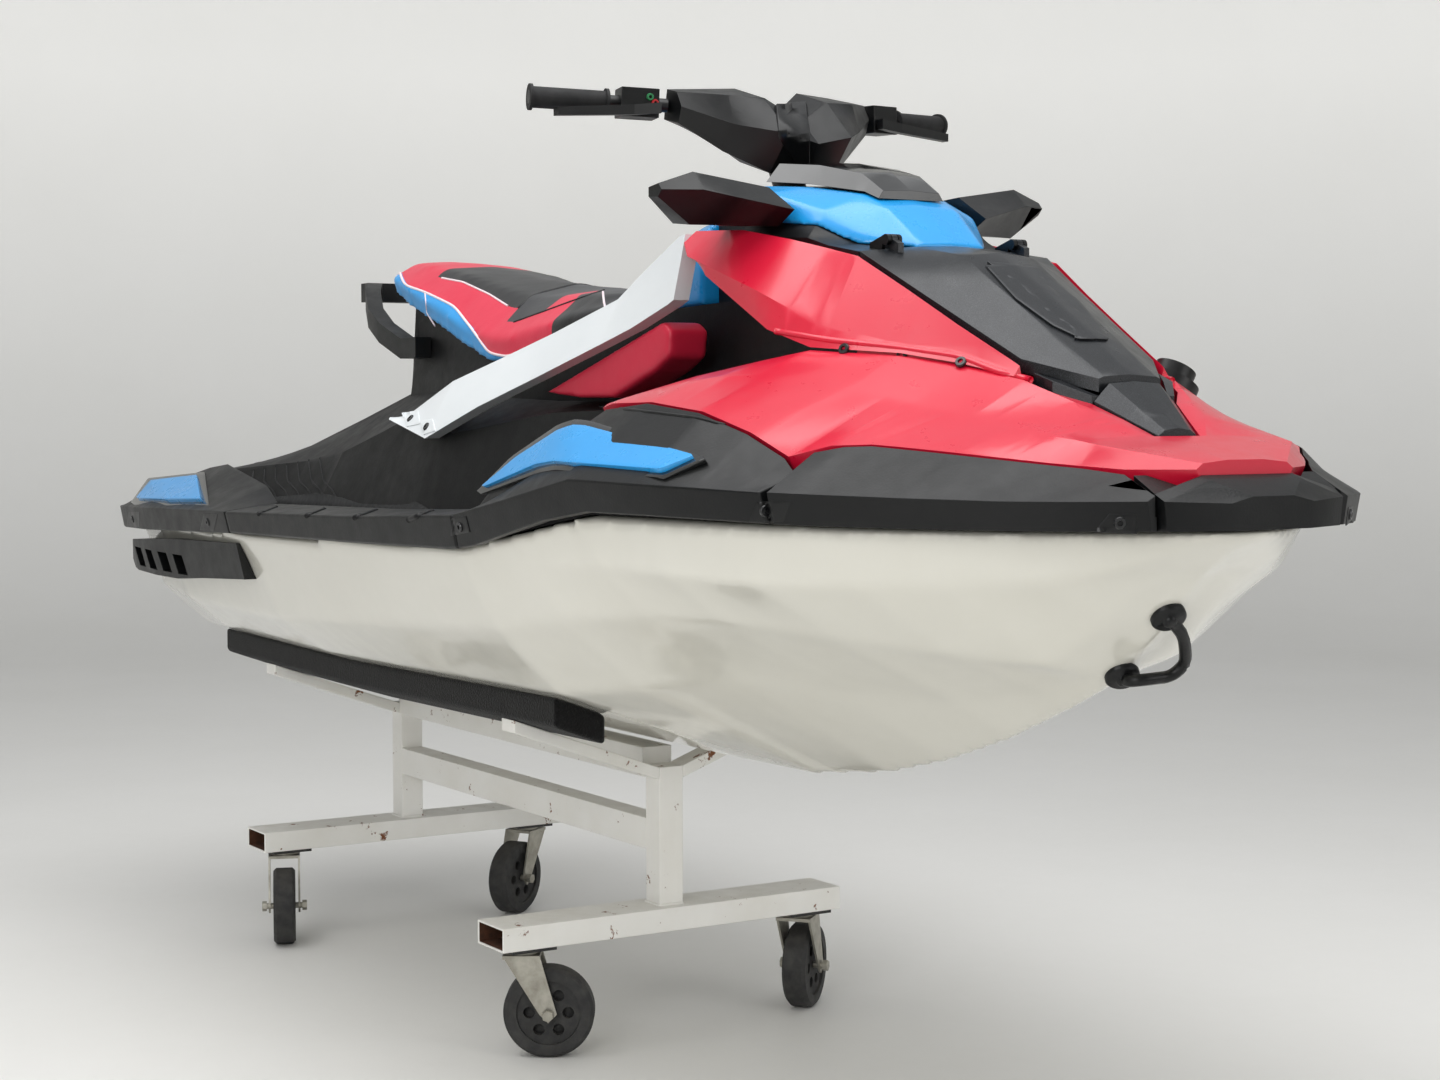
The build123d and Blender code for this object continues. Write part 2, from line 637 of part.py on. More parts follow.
# Dark trim between the hood and the nose, with a strip up each side of the hood's tip
strip_rows_shares = [(123, 10.9, 11.1, 64.0), (126.2, 8.9, 10.6, 62.9), (130.3, 6.0, 7.2, 60.9)]
strip_stations = [123, 123.7, 126.2, 126.6, 130.3]
trim_stations = [130.4, 134.7, 136, 138.9]


def trim_section(s):
    rest = up(read_line(brow_line_shares, s)[1]) - panel_wall + seat_gap
    edge = spot(trim_edge_shares, s)
    crease = spot(trim_crease_shares, s)
    return whole([(0, rest), (edge[0], rest), edge, crease, (0, crease[1] + panel_seam)])


def strip_section(s):
    rest = up(read_line(brow_line_shares, s)[1]) - panel_wall + seat_gap
    inner_b, outer_b, top_w = read_line(strip_rows_shares, s)
    return [(out(inner_b), rest), (out(outer_b), rest), (out(outer_b), up(top_w)), (out(inner_b), up(top_w))]


with BuildPart() as hood_trim:
    ribs(strip_stations, strip_section)
    mirror(about=Plane.XZ)
    ribs(trim_stations, trim_section)
write(hood_trim, "hood_trim")


def shoulder_section(s):
    edge_y, edge_z = spot(shoulder_edge_shares, s)
    low_y, low_z = spot(cowl_low_shares, s, down=seat_gap)
    return whole([
        (0, edge_z - panel_wall), (out(core_half_width_share) - panel_seam, edge_z - panel_wall),
        (edge_y, edge_z - panel_wall / 2), (edge_y, edge_z),
        (min(low_y, edge_y - panel_wall / 2), low_z), (0, low_z),
    ])


with BuildPart() as hood_shoulders:
    ribs([60, 66.6, 77.2, 82.6, 90.4], shoulder_section)
    reach = knuckle_width / 2 + lug_gap
    for middle in (knuckle - reach - lug_width / 2, knuckle + reach + lug_width / 2):
        side_prism(lug_leg_shares, middle - lug_width / 2, middle + lug_width / 2)
        hinge_disc(hinge_eye_diameter, middle, lug_width)
    hinge_disc(hinge_pin_diameter, knuckle, 2 * reach + 2 * lug_width)
    mirror(about=Plane.XZ)
write(hood_shoulders, "hood_shoulders")

# Upper cowl around the instruments, with the dark hood that tops it
dash_rows_shares = [
    (58.6, 12, 94.2, 9.5, 97.2, 97.8), (66.6, 9.6, 93.4, 7.4, 96.4, 97.0),
    (75, 7.0, 91.9, 5.4, 94.6, 95.0), (80.2, 6.0, 90.3, 5.2, 91.6, 91.8),
]
with BuildPart() as upper_cowl:
    ribs([row[0] for row in cowl_low_shares], lambda s: whole([
        (0, spot(cowl_low_shares, s)[1]), spot(cowl_low_shares, s), spot(cowl_side_shares, s),
        spot(cowl_ridge_shares, s), spot(cowl_crown_shares, s),
    ]))
write(upper_cowl, "upper_cowl")


def dash_section(s):
    edge_b, edge_w, top_b, top_w, crown_w = read_line(dash_rows_shares, s)
    rest = up(max(read_line(cowl_crown_shares, s)[1], edge_w)) + seat_gap
    return whole([(0, rest), (out(edge_b), rest), (out(top_b), up(top_w)), (0, up(crown_w))])


with BuildPart() as dash_cover:
    ribs(sorted([row[0] for row in dash_rows_shares] + [77.2]), dash_section)
write(dash_cover, "dash_cover")

# Cover between the seat and the steering column
tank_rows_shares = [
    (15.4, 12, 76.6, 78.6), (22.5, 12.4, 82.5, 84.9), (36.6, 13, 86.4, 88.8), (41.2, 13, 87, 89.6),
]


def tank_section(s):
    half_b, side_w, top_w = read_line(tank_rows_shares, s)
    floor = up(read_line(deck_rows_shares, s)[7]) + seat_gap
    return whole([
        (0, floor), (out(half_b), floor), (out(half_b), up(side_w)), (out(half_b) * 0.75, up(top_w)),
        (0, up(top_w)),
    ])


with BuildPart() as tank_cover:
    ribs([row[0] for row in tank_rows_shares], tank_section)
write(tank_cover, "tank_cover")

# Seat


def seat_section(s):
    row = read_line(seat_rows_shares, s)
    corners = [(out(b), up(w)) for b, w in zip(row[0:6:2], row[1:6:2])]
    return whole([(0, corners[0][1])] + corners + [(0, up(row[6]))])


with BuildPart() as seat:
    ribs([row[0] for row in seat_rows_shares], seat_section)
write(seat, "seat")

# Side beams: rows of s with half-width and height of the upper and the lower edge
beam_rows_shares = [
    (-43.2, 30.0, 57.4, 30.2, 57.0), (-23, 26.6, 64.0, 32.3, 53.7), (-7.4, 24.4, 68.0, 29.4, 59.4),
    (9.4, 23, 72.0, 27, 64.2), (30.2, 22.4, 76.9, 26, 69.4), (39.7, 22.4, 81.5, 25.4, 71.9),
    (50.1, 22.6, 86.0, 24.8, 75.3), (51.97, 22.6, 86.2, 24.8, 76.0),
]
beam_wall = 28.0


def beam_section(s):
    top_b, top_w, low_b, low_w = read_line(beam_rows_shares, s)
    top, low = (out(top_b), up(top_w)), (out(low_b), up(low_w))
    return [top, low, (low[0] - beam_wall, low[1]), (top[0] - beam_wall, top[1])]


with BuildPart() as side_beams:
    ribs([row[0] for row in beam_rows_shares], beam_section)
    mirror(about=Plane.XZ)
write(side_beams, "side_beams")

# Knee pads
pad_outline_shares = [
    (7.3, 61.8), (47.3, 72.9), (49.7, 71.4), (49.2, 67.2), (44.4, 64.9), (31.5, 60.9), (19.5, 60.9),
]
pad_inner_share = 16.77
pad_outer_share = 27
with BuildPart() as knee_pads:
    side_prism(pad_outline_shares, out(pad_inner_share) + seat_gap, out(pad_outer_share) - beam_wall)
    mirror(about=Plane.XZ)
write(knee_pads, "knee_pads")

# Mirrors: rows of b with the corners of the section across the arm, as pairs of s and w
mirror_rows_shares = [
    (17.87, [(61, 92.0), (68.5, 92.4), (75.5, 88.6), (71.2, 86.4), (61, 87.0)]),
    (30.3, [(61, 93.0), (66.8, 94.3), (70.0, 91.4), (66.0, 86.5), (61, 87.0)]),
    (35.9, [(63.4, 92.0), (66.3, 92.4), (67.2, 91.4), (66.2, 90.4), (63.4, 90.6)]),
]
glass_thickness = 4.0
with BuildPart() as mirrors:
    faces = []
    for b, corners in mirror_rows_shares:
        with BuildSketch(Plane.XZ.offset(-out(b))) as section:
            with BuildLine():
                Polyline(*[(fore(s), up(w)) for s, w in corners], close=True)
            make_face()
        faces.append(section.sketch.face())
    loft(faces, ruled=True)
    mirror(about=Plane.XZ)
write(mirrors, "mirrors")

with BuildPart() as mirror_glasses:
    with BuildSketch(Plane.YZ.offset(fore(61) - seat_gap)) as section:
        with BuildLine():
            Polyline((out(20.5), up(88)), (out(29.6), up(87.9)), (out(29.6), up(92.2)),
                     (out(20.5), up(91.6)), close=True)
        make_face()
    extrude(amount=-glass_thickness)
    mirror(about=Plane.XZ)
write(mirror_glasses, "mirror_glasses")

# Latch ahead of the seat
latch_rows_shares = [(12.3, 5, 79.6), (15.3, 4.2, 78.4)]


def latch_section(s):
    half_b, top_w = read_line(latch_rows_shares, s)
    floor = up(read_line(deck_rows_shares, s)[7]) + seat_gap
    return whole([(0, floor), (out(half_b), floor), (out(half_b), up(top_w)), (0, up(top_w))])


with BuildPart() as seat_latch:
    ribs([row[0] for row in latch_rows_shares], latch_section)
write(seat_latch, "seat_latch")

# Grab handle behind the seat: rows of s with the inner side and the middle height of each arm
handle_rows_shares = [
    (-107, 3.5, 83.6), (-101, 5.5, 83.4), (-93, 9.5, 81.3), (-84, 12.9, 77.4),
    (-77, 13.7, 74.2), (-66, 14.05, 70.8), (-58, 14.45, 70.9),
]
handle_width = 34.0
handle_height = 40.0


def handle_section(s):
    inner_b, middle_w = read_line(handle_rows_shares, s)
    y, z = out(inner_b), up(middle_w)
    return [
        (y, z - handle_height / 2), (y + handle_width, z - handle_height / 2),
        (y + handle_width, z + handle_height / 2), (y, z + handle_height / 2),
    ]


with BuildPart() as grab_handle:
    ribs([row[0] for row in handle_rows_shares], handle_section)
    mirror(about=Plane.XZ)
    with BuildSketch(Plane.XY.offset(up(handle_rows_shares[0][2]) - handle_height / 2)):
        with Locations((fore(handle_rows_shares[0][0]), 0)):
            Rectangle(handle_height, 2 * (out(handle_rows_shares[0][1]) + handle_width))
    extrude(amount=handle_height)
write(grab_handle, "grab_handle")

# Sponsons: rows of s with bottom and top heights and how far bottom and top stand off the hull
sponson_rows_shares = [
    (-145, 24.0, 26.0, 5.0, 5.0), (-136.4, 24.0, 30.8, 6.0, 5.0), (-120, 24.0, 31.6, 5.5, 4.0),
    (-105, 24.1, 32.4, 5.0, 3.0),
    (-89, 25.2, 32.8, 4.0, 2.0), (-65, 26.4, 33.4, 2.5, 0.8),
]


def hull_side(s, w):
    """Half-breadth of the hull at that station and height."""
    points = [read_line(line, s) for line in (
        keel_line_shares, bilge_line_shares, chine_line_shares, crease_line_shares,
        sheer_line_shares,
    )]
    return read_line([(height, b) for b, height in points], w)[0]


def hull_bottom(s, b):
    """Height of the hull's bottom at that station and half-breadth."""
    points = [read_line(line, s) for line in (
        keel_line_shares, bilge_line_shares, chine_line_shares,
    )]
    return read_line([(breadth, height) for breadth, height in points], b)[0]


def sponson_section(s):
    bottom, top, bottom_stand, top_stand = read_line(sponson_rows_shares, s)
    bottom_y, top_y = out(hull_side(s, bottom)) + seat_gap, out(hull_side(s, top)) + seat_gap
    return [
        (bottom_y, up(bottom)), (bottom_y + out(bottom_stand), up(bottom)),
        (top_y + out(top_stand), up(top)), (top_y, up(top)),
    ]


# Slots in the sponson's side: rows of s with the half-breadth of the slot's floor
slot_rows_shares = [(-134, 45.2), (-124, 47.2), (-114, 48.2), (-104, 48.4)]
slot_length = 58.0
slot_slant = 16.0
slot_foot_share = 25.2
slot_top_share = 29.2

with BuildPart() as sponsons:
    ribs([row[0] for row in sponson_rows_shares], sponson_section)
    for s, floor_b in slot_rows_shares:
        with BuildSketch(Plane.XZ.offset(-out(floor_b))):
            with BuildLine():
                Polyline(
                    (fore(s), up(slot_foot_share)), (fore(s) + slot_length, up(slot_foot_share)),
                    (fore(s) + slot_length - slot_slant, up(slot_top_share)),
                    (fore(s) - slot_slant, up(slot_top_share)), close=True,
                )
            make_face()
        extrude(amount=-out(floor_b), mode=Mode.SUBTRACT)
    mirror(about=Plane.XZ)
write(sponsons, "sponsons")

# Fuel cap: a flange and a turned knob, seated in its pocket of the lower cowl
with BuildPart() as fuel_cap:
    with BuildSketch(cap_plane):
        Circle(cap_diameter / 2)
    extrude(amount=cap_rise)
    with BuildSketch(cap_plane.offset(cap_rise)):
        Circle(cap_knob_diameter / 2)
    extrude(amount=cap_knob_rise)
write(fuel_cap, "fuel_cap")

# Tow eye on the stem
eye_outline_shares = [
    (127.62, 22.45), (128.8, 23.5), (129.9, 22.3), (137.2, 28.8), (136.1, 30.0), (137.3, 31.2),
    (139.1, 29.2), (129.4, 20.4),
]
eye_half_share = 1.3
with BuildPart() as tow_eye:
    side_prism(eye_outline_shares, -out(eye_half_share), out(eye_half_share))
write(tow_eye, "tow_eye")

# Pump housing with its guide vanes, its outlet tube and the pins its nozzle and bucket turn on
hub_diameter = 56.0
vane_count = 6
vane_thickness = 5.0
vane_length = 95.0
outlet_bore = 84.0
outlet_wall = 8.0
outlet_length = 72.0
outlet_flange = 12.0
ear_height = 34.0
nozzle_length = 92.0
nozzle_wall = 9.0
nozzle_sleeve = 132.0
nozzle_sleeve_length = 36.0
nozzle_pin_diameter = 16.0
nozzle_inset = 14.0
nozzle_front_reach = 14.0
nozzle_axis = pump_stern - outlet_length + nozzle_inset
nozzle_front = nozzle_axis + nozzle_front_reach
bucket_half_width = 100.0
bucket_wall = 7.0
bucket_radius = 118.0
bucket_low_angle = 25.0
bucket_high_angle = 80.0
bucket_steps = 4
arm_width = 36.0
bucket_axis = nozzle_axis

pin_reach = (nozzle_sleeve - outlet_bore - outlet_wall) / 2 + nozzle_wall - pin_gap


def ring_extrusion(start, outer, inner, length, mode=Mode.ADD):
    with BuildSketch(Plane.YZ.offset(start)) as section:
        with Locations((0, pump_axis)):
            Circle(outer / 2)
            if inner > 0:
                Circle(inner / 2, mode=Mode.SUBTRACT)
    extrude(section.sketch.face(), amount=length, mode=mode)


with BuildPart() as pump_housing:
    ring_extrusion(pump_stern, pump_outer, pump_bore, pump_length)
    ring_extrusion(pump_stern, hub_diameter, 0, vane_length)
    with BuildSketch(Plane.YZ.offset(pump_stern)):
        with Locations((0, pump_axis)):
            with PolarLocations((hub_diameter + pump_bore) / 4, vane_count):
                Rectangle((pump_bore - hub_diameter) / 2 + vane_thickness, vane_thickness)
    extrude(amount=vane_length)
    ring_extrusion(pump_stern - outlet_flange, pump_outer, outlet_bore, outlet_flange)
    ring_extrusion(pump_stern - outlet_length, outlet_bore + 2 * outlet_wall, outlet_bore, outlet_length)
    for start in (-nozzle_sleeve / 2 - nozzle_wall + pin_gap, outlet_bore / 2 + outlet_wall / 2):
        with BuildSketch(Plane.XY.offset(pump_axis + start)):
            with Locations((nozzle_axis, 0)):
                Circle(nozzle_pin_diameter / 2 - pin_gap / 2)
        extrude(amount=pin_reach)
    with BuildSketch(Plane.YZ.offset(pump_stern - outlet_flange)):
        with Locations((0, pump_axis)):
            Rectangle(2 * (bucket_half_width - pin_gap), ear_height)
            Circle(pump_outer / 2 - vane_thickness, mode=Mode.SUBTRACT)
    extrude(amount=outlet_flange)
    for side in (-1, 1):
        with BuildSketch(Plane.XY.offset(pump_axis - ear_height / 2)):
            with Locations(((pump_stern + nozzle_axis - ear_height / 2) / 2, side * (bucket_half_width - pin_gap - bucket_wall / 2))):
                Rectangle(pump_stern - nozzle_axis + ear_height / 2, bucket_wall)
        extrude(amount=ear_height)
        with BuildSketch(Plane.XZ.offset(side * (bucket_half_width - bucket_wall / 2))):
            with Locations((nozzle_axis, pump_axis)):
                Circle(nozzle_pin_diameter / 2 - pin_gap / 2)
        extrude(amount=side * 2 * bucket_wall)
write(pump_housing, "pump_housing")

# Impeller on its driveshaft
blade_count = 3
blade_gap = 1.5
blade_thickness = 6.0
blade_length = 96.0
blade_twist = 70.0
blade_steps = 4
impeller_rear = pump_stern + vane_length + running_gap
with BuildPart() as impeller:
    ring_extrusion(impeller_rear, hub_diameter, 0, blade_length)
    blade_reach = pump_bore / 2 - blade_gap
    for blade in range(blade_count):
        faces = []
        for step in range(blade_steps):
            share = step / (blade_steps - 1)
            turn = 360 / blade_count * blade + blade_twist * share
            with BuildSketch(Plane.YZ.offset(impeller_rear + blade_length * share)) as section:
                with Locations(Location((0, pump_axis), turn)):
                    with Locations((blade_reach / 2, 0)):
                        Rectangle(blade_reach, blade_thickness)
            faces.append(section.sketch.face())
        loft(faces, ruled=True)
write(impeller, "impeller")

shaft_front = engine_rear + cut_overrun
with BuildPart() as driveshaft:
    shaft_start = impeller_rear + blade_length + seat_gap
    ring_extrusion(shaft_start, shaft_diameter, 0, shaft_front - shaft_start)
write(driveshaft, "driveshaft")

# Steering nozzle on its upright pins
with BuildPart() as steering_nozzle:
    for grow, mode in ((2 * nozzle_wall, Mode.ADD), (0, Mode.SUBTRACT)):
        ring_extrusion(nozzle_front - nozzle_sleeve_length, nozzle_sleeve + grow, 0, nozzle_sleeve_length, mode)
        faces = []
        for x, diameter in (
            (nozzle_front - nozzle_sleeve_length, nozzle_sleeve), (nozzle_front - nozzle_length, outlet_bore),
        ):
            with BuildSketch(Plane.YZ.offset(x)) as section:
                with Locations((0, pump_axis)):
                    Circle((diameter + grow) / 2)
            faces.append(section.sketch.face())
        loft(faces, ruled=True, mode=mode)
    with BuildSketch(Plane.XY.offset(pump_axis - nozzle_sleeve)) as section:
        with Locations((nozzle_axis, 0)):
            Circle(nozzle_pin_diameter / 2)
    extrude(section.sketch.face(), amount=2 * nozzle_sleeve, mode=Mode.SUBTRACT)
write(steering_nozzle, "steering_nozzle")

# Reverse bucket, pivoted beside the nozzle and raised over it


def around(radius, angle):
    return (
        bucket_axis - radius * cos(radians(angle)), pump_axis + radius * sin(radians(angle)),
    )


with BuildPart() as reverse_bucket:
    angles = [
        bucket_low_angle + (bucket_high_angle - bucket_low_angle) * step / bucket_steps
        for step in range(bucket_steps + 1)
    ]
    path = [around(bucket_radius, angle) for angle in angles]
    path += [around(bucket_radius + bucket_wall, angle) for angle in reversed(angles)]
    with BuildSketch(Plane.XZ.offset(-bucket_half_width - bucket_wall)) as shell_face:
        with BuildLine():
            Polyline(*path, close=True)
        make_face()
    extrude(shell_face.sketch.face(), amount=2 * (bucket_half_width + bucket_wall))
    for start in (bucket_half_width, -bucket_half_width - bucket_wall):
        with BuildSketch(Plane.XZ.offset(start)) as arm_face:
            with BuildLine():
                Polyline(
                    around(arm_width / 2, bucket_high_angle + 90), around(arm_width / 2, bucket_low_angle - 90),
                    *[around(bucket_radius + bucket_wall / 2, angle) for angle in angles], close=True,
                )
            make_face()
        extrude(arm_face.sketch.face(), amount=bucket_wall)
    with BuildSketch(Plane.XZ.offset(-bucket_half_width - 2 * bucket_wall)) as section:
        with Locations((bucket_axis, pump_axis)):
            Circle(nozzle_pin_diameter / 2)
    extrude(section.sketch.face(), amount=2 * (bucket_half_width + 2 * bucket_wall), mode=Mode.SUBTRACT)
write(reverse_bucket, "reverse_bucket")

# Intake grate and ride plate under the hull
grate_bar = 12.0
grate_pitch = 42.0
grate_height = 22.0
grate_front = tunnel_end + intake_length * 0.8
with BuildPart() as intake_grate:
    with BuildSketch(Plane.XY.offset(keel_height + grate_height)):
        for x in (tunnel_end + 2 * grate_bar, grate_front):
            with Locations((x, 0)):
                Rectangle(grate_bar, 2 * (intake_half_width - seat_gap))
        with Locations(*[((tunnel_end + grate_front) / 2, row * grate_pitch) for row in (-1, 0, 1)]):
            Rectangle(grate_front - tunnel_end - 2 * grate_bar, grate_bar)
    extrude(amount=grate_bar)
write(intake_grate, "intake_grate")

plate_thickness = 8.0
with BuildPart() as ride_plate:
    edge_rise = up(hull_bottom(hull_stations[0], tunnel_half_width / out(1)) - read_line(keel_line_shares, hull_stations[0])[1])
    edge_y = tunnel_half_width - seat_gap
    with BuildSketch(Plane.YZ.offset(hull_stern)):
        with BuildLine():
            Polyline(
                (0, keel_height), (edge_y, edge_rise), (edge_y, edge_rise + plate_thickness),
                (0, keel_height + plate_thickness), (-edge_y, edge_rise + plate_thickness),
                (-edge_y, edge_rise), close=True,
            )
        make_face()
    extrude(amount=tunnel_length - seat_gap)
write(ride_plate, "ride_plate")

# Handlebar pod: rows of b with the corners of the section across it, as pairs of s and w
pod_rows_shares = [
    (0, [(51, 95.5), (55.5, 101), (50.5, 105), (42, 106.5), (43, 97)]),
    (6, [(50.5, 96.5), (56, 102.3), (49, 108.5), (40, 111), (41.5, 99)]),
    (12, [(46, 100), (49.5, 104), (47.5, 108.8), (40.5, 110.5), (40, 103)]),
    (18.2, [(42.5, 104.5), (43.5, 107), (42, 109.5), (39, 110.2), (38, 105.5)]),
]


def cross_ribs(rows_shares):
    """A solid drawn straight from section to section outward from the middle plane."""
    sections = []
    for b, corners in rows_shares:
        with BuildSketch(Plane.XZ.offset(-out(b))) as section:
            with BuildLine():
                Polyline(*[(fore(s), up(w)) for s, w in corners], close=True)
            make_face()
        sections.append(section.sketch.face())
    loft(sections, ruled=True)


with BuildPart() as handlebar_pod:
    cross_ribs(pod_rows_shares)
    mirror(about=Plane.XZ)
    with BuildSketch(steering_plane.offset(stem_diameter / 2)):
        Circle(stem_diameter / 2)
    extrude(amount=-stem_length - stem_diameter / 2)
write(handlebar_pod, "handlebar_pod")

# Bars, grips, switch blocks and levers on one slanted axis each side
bar_start = Vector(fore(39.5), out(18.55), up(107.5))
bar_end = Vector(fore(33.4), out(40.2), up(108.2))
bar_reach = (bar_end - bar_start).length
bar_plane = Plane(origin=bar_start, z_dir=(bar_end - bar_start))
bar_diameter = 22.0
grip_diameter = 34.0
grip_length = 128.0
flange_diameter = 42.0
flange_length = 5.0
switch_length = 62.0
switch_width = 46.0
switch_start = 18.0


def bar_ring(start, outer, length):
    with BuildSketch(bar_plane.offset(start)) as section:
        Circle(outer / 2)
        Circle(bar_diameter / 2 + seat_gap, mode=Mode.SUBTRACT)
    extrude(section.sketch.face(), amount=length)


with BuildPart() as handlebar_tubes:
    with BuildSketch(bar_plane):
        Circle(bar_diameter / 2)
    extrude(amount=bar_reach)
    mirror(about=Plane.XZ)
write(handlebar_tubes, "handlebar_tubes")

with BuildPart() as grips:
    bar_ring(bar_reach - grip_length, grip_diameter, grip_length)
    bar_ring(bar_reach - grip_length, flange_diameter, flange_length)
    bar_ring(bar_reach - flange_length, flange_diameter, flange_length)
    mirror(about=Plane.XZ)
write(grips, "grips")

with BuildPart() as switch_blocks:
    with BuildSketch(bar_plane.offset(switch_start)):
        Rectangle(switch_width, switch_width)
        Circle(bar_diameter / 2 + seat_gap, mode=Mode.SUBTRACT)
    extrude(amount=switch_length)
    mirror(about=Plane.XZ)
write(switch_blocks, "switch_blocks")

lever_rows_shares = [
    (21.5, [(41.15, 105.8), (42.9, 105.8), (42.9, 107.5), (41.15, 107.5)]),
    (26, [(40.6, 105.4), (42.2, 105.4), (42.2, 107.0), (40.6, 107.0)]),
    (38, [(37.6, 104.9), (39.2, 104.9), (39.2, 106.2), (37.6, 106.2)]),
]
with BuildPart() as levers:
    cross_ribs(lever_rows_shares)
    mirror(about=Plane.XZ)
write(levers, "levers")

# Shop dolly: two cross-members on casters, posts, spine, keel rail, slanted arms and bunks
rear_post_x = -1024.3
front_post_x = 66.8
post_side = 48.7
member_length = 693.3
member_width = 98.2
member_height = 42.0
member_wall = 4.0
member_top = 235.4
spine_low = 330.0
spine_height = 56.0
rail_width = 60.0
rail_height = 53.0
rail_drop = 12.0
bunk_thickness = 50.0
bunk_inner_share = 22
bunk_outer_share = 31.5
bunk_rear_share = -127
bunk_front_share = 25
arm_reach_share = 31
arm_height = 22.0
posts_x = (rear_post_x, front_post_x)
bay_length = front_post_x - rear_post_x - post_side

with BuildPart() as cross_members:
    for x in posts_x:
        with BuildSketch(Plane.XZ.offset(-member_length / 2)) as section:
            with Locations((x, member_top - member_height / 2)):
                Rectangle(member_width, member_height)
                Rectangle(member_width - 2 * member_wall, member_height - 2 * member_wall, mode=Mode.SUBTRACT)
        extrude(section.sketch.face(), amount=member_length)
write(cross_members, "cross_members")


def bunk_underside(s, b):
    return up(hull_bottom(s, b)) - bunk_thickness - seat_gap


def arm_line(x, y):
    """Height of the arms' top at y, on the slant of the bunks' undersides."""
    s = x / fore(1)
    low, high = bunk_underside(s, bunk_inner_share), bunk_underside(s, bunk_outer_share)
    share = (y - out(bunk_inner_share)) / out(bunk_outer_share - bunk_inner_share)
    return low + (high - low) * share - pin_gap


with BuildPart() as dolly_posts:
    for x in posts_x:
        with BuildSketch(Plane.XY.offset(member_top)) as section:
            with Locations((x, 0)):
                Rectangle(post_side, post_side)
        extrude(section.sketch.face(), amount=arm_line(x, post_side / 2) - member_top)
write(dolly_posts, "dolly_posts")

with BuildPart() as dolly_spine:
    for low, height, width in (
        (spine_low, spine_height, post_side), (keel_height - rail_drop - rail_height, rail_height, rail_width),
    ):
        with BuildSketch(Plane.XY.offset(low)) as section:
            with Locations(((rear_post_x + front_post_x) / 2, 0)):
                Rectangle(bay_length, width)
        extrude(section.sketch.face(), amount=height)
write(dolly_spine, "dolly_rails")

with BuildPart() as cross_arms:
    for x in posts_x:
        root_y, tip_y = post_side / 2, out(arm_reach_share)
        with BuildSketch(Plane.YZ.offset(x - post_side / 2)) as section:
            with BuildLine():
                Polyline(
                    (root_y, arm_line(x, root_y)), (tip_y, arm_line(x, tip_y)),
                    (tip_y, arm_line(x, tip_y) - arm_height), (root_y, arm_line(x, root_y) - arm_height),
                    close=True,
                )
            make_face()
        extrude(section.sketch.face(), amount=post_side)
    mirror(about=Plane.XZ)
write(cross_arms, "cross_arms")


def bunk_section(s):
    low_y, high_y = out(bunk_inner_share), out(bunk_outer_share)
    low_z, high_z = bunk_underside(s, bunk_inner_share), bunk_underside(s, bunk_outer_share)
    return [
        (low_y, low_z), (high_y, high_z), (high_y, high_z + bunk_thickness),
        (low_y, low_z + bunk_thickness),
    ]


with BuildPart() as bunks:
    ribs(with_hull_stations([bunk_rear_share, bunk_front_share]), bunk_section)
    mirror(about=Plane.XZ)
write(bunks, "bunks")

# Casters: plate, swivelling fork, core and tyre each
wheel_diameter = 157.0
tyre_width = 45.0
tyre_band = 23.0
tyre_edge = 6.0
core_width = 36.0
core_hole_diameter = 20.0
core_hole_count = 6
axle_diameter = 12.0
caster_trail = 46.0
caster_offset = 285.0
plate_length = 96.0
plate_width = 84.0
plate_height = 5.0
race_height = 8.0
race_diameter = 56.0
crown_height = 6.0
leg_thickness = 4.0
leg_gap = 6.0
leg_top_length = 64.0
leg_foot_length = 30.0
casters = [
    ("front_starboard", front_post_x, -1, 58.0),
    ("front_port", front_post_x, 1, 130.0),
    ("rear_starboard", rear_post_x, -1, -22.0),
    ("rear_port", rear_post_x, 1, -59.0),
]
member_low = member_top - member_height
race_top = member_low - plate_height - seat_gap
crown_low = race_top - race_height - crown_height
leg_inner = tyre_width / 2 + leg_gap

with BuildPart() as caster_plates:
    for caster_name, x, side, swivel in casters:
        with BuildSketch(Plane.XY.offset(member_low - plate_height)) as section:
            with Locations((x, side * caster_offset)):
                Rectangle(plate_length, plate_width)
        extrude(section.sketch.face(), amount=plate_height)
write(caster_plates, "caster_plates")

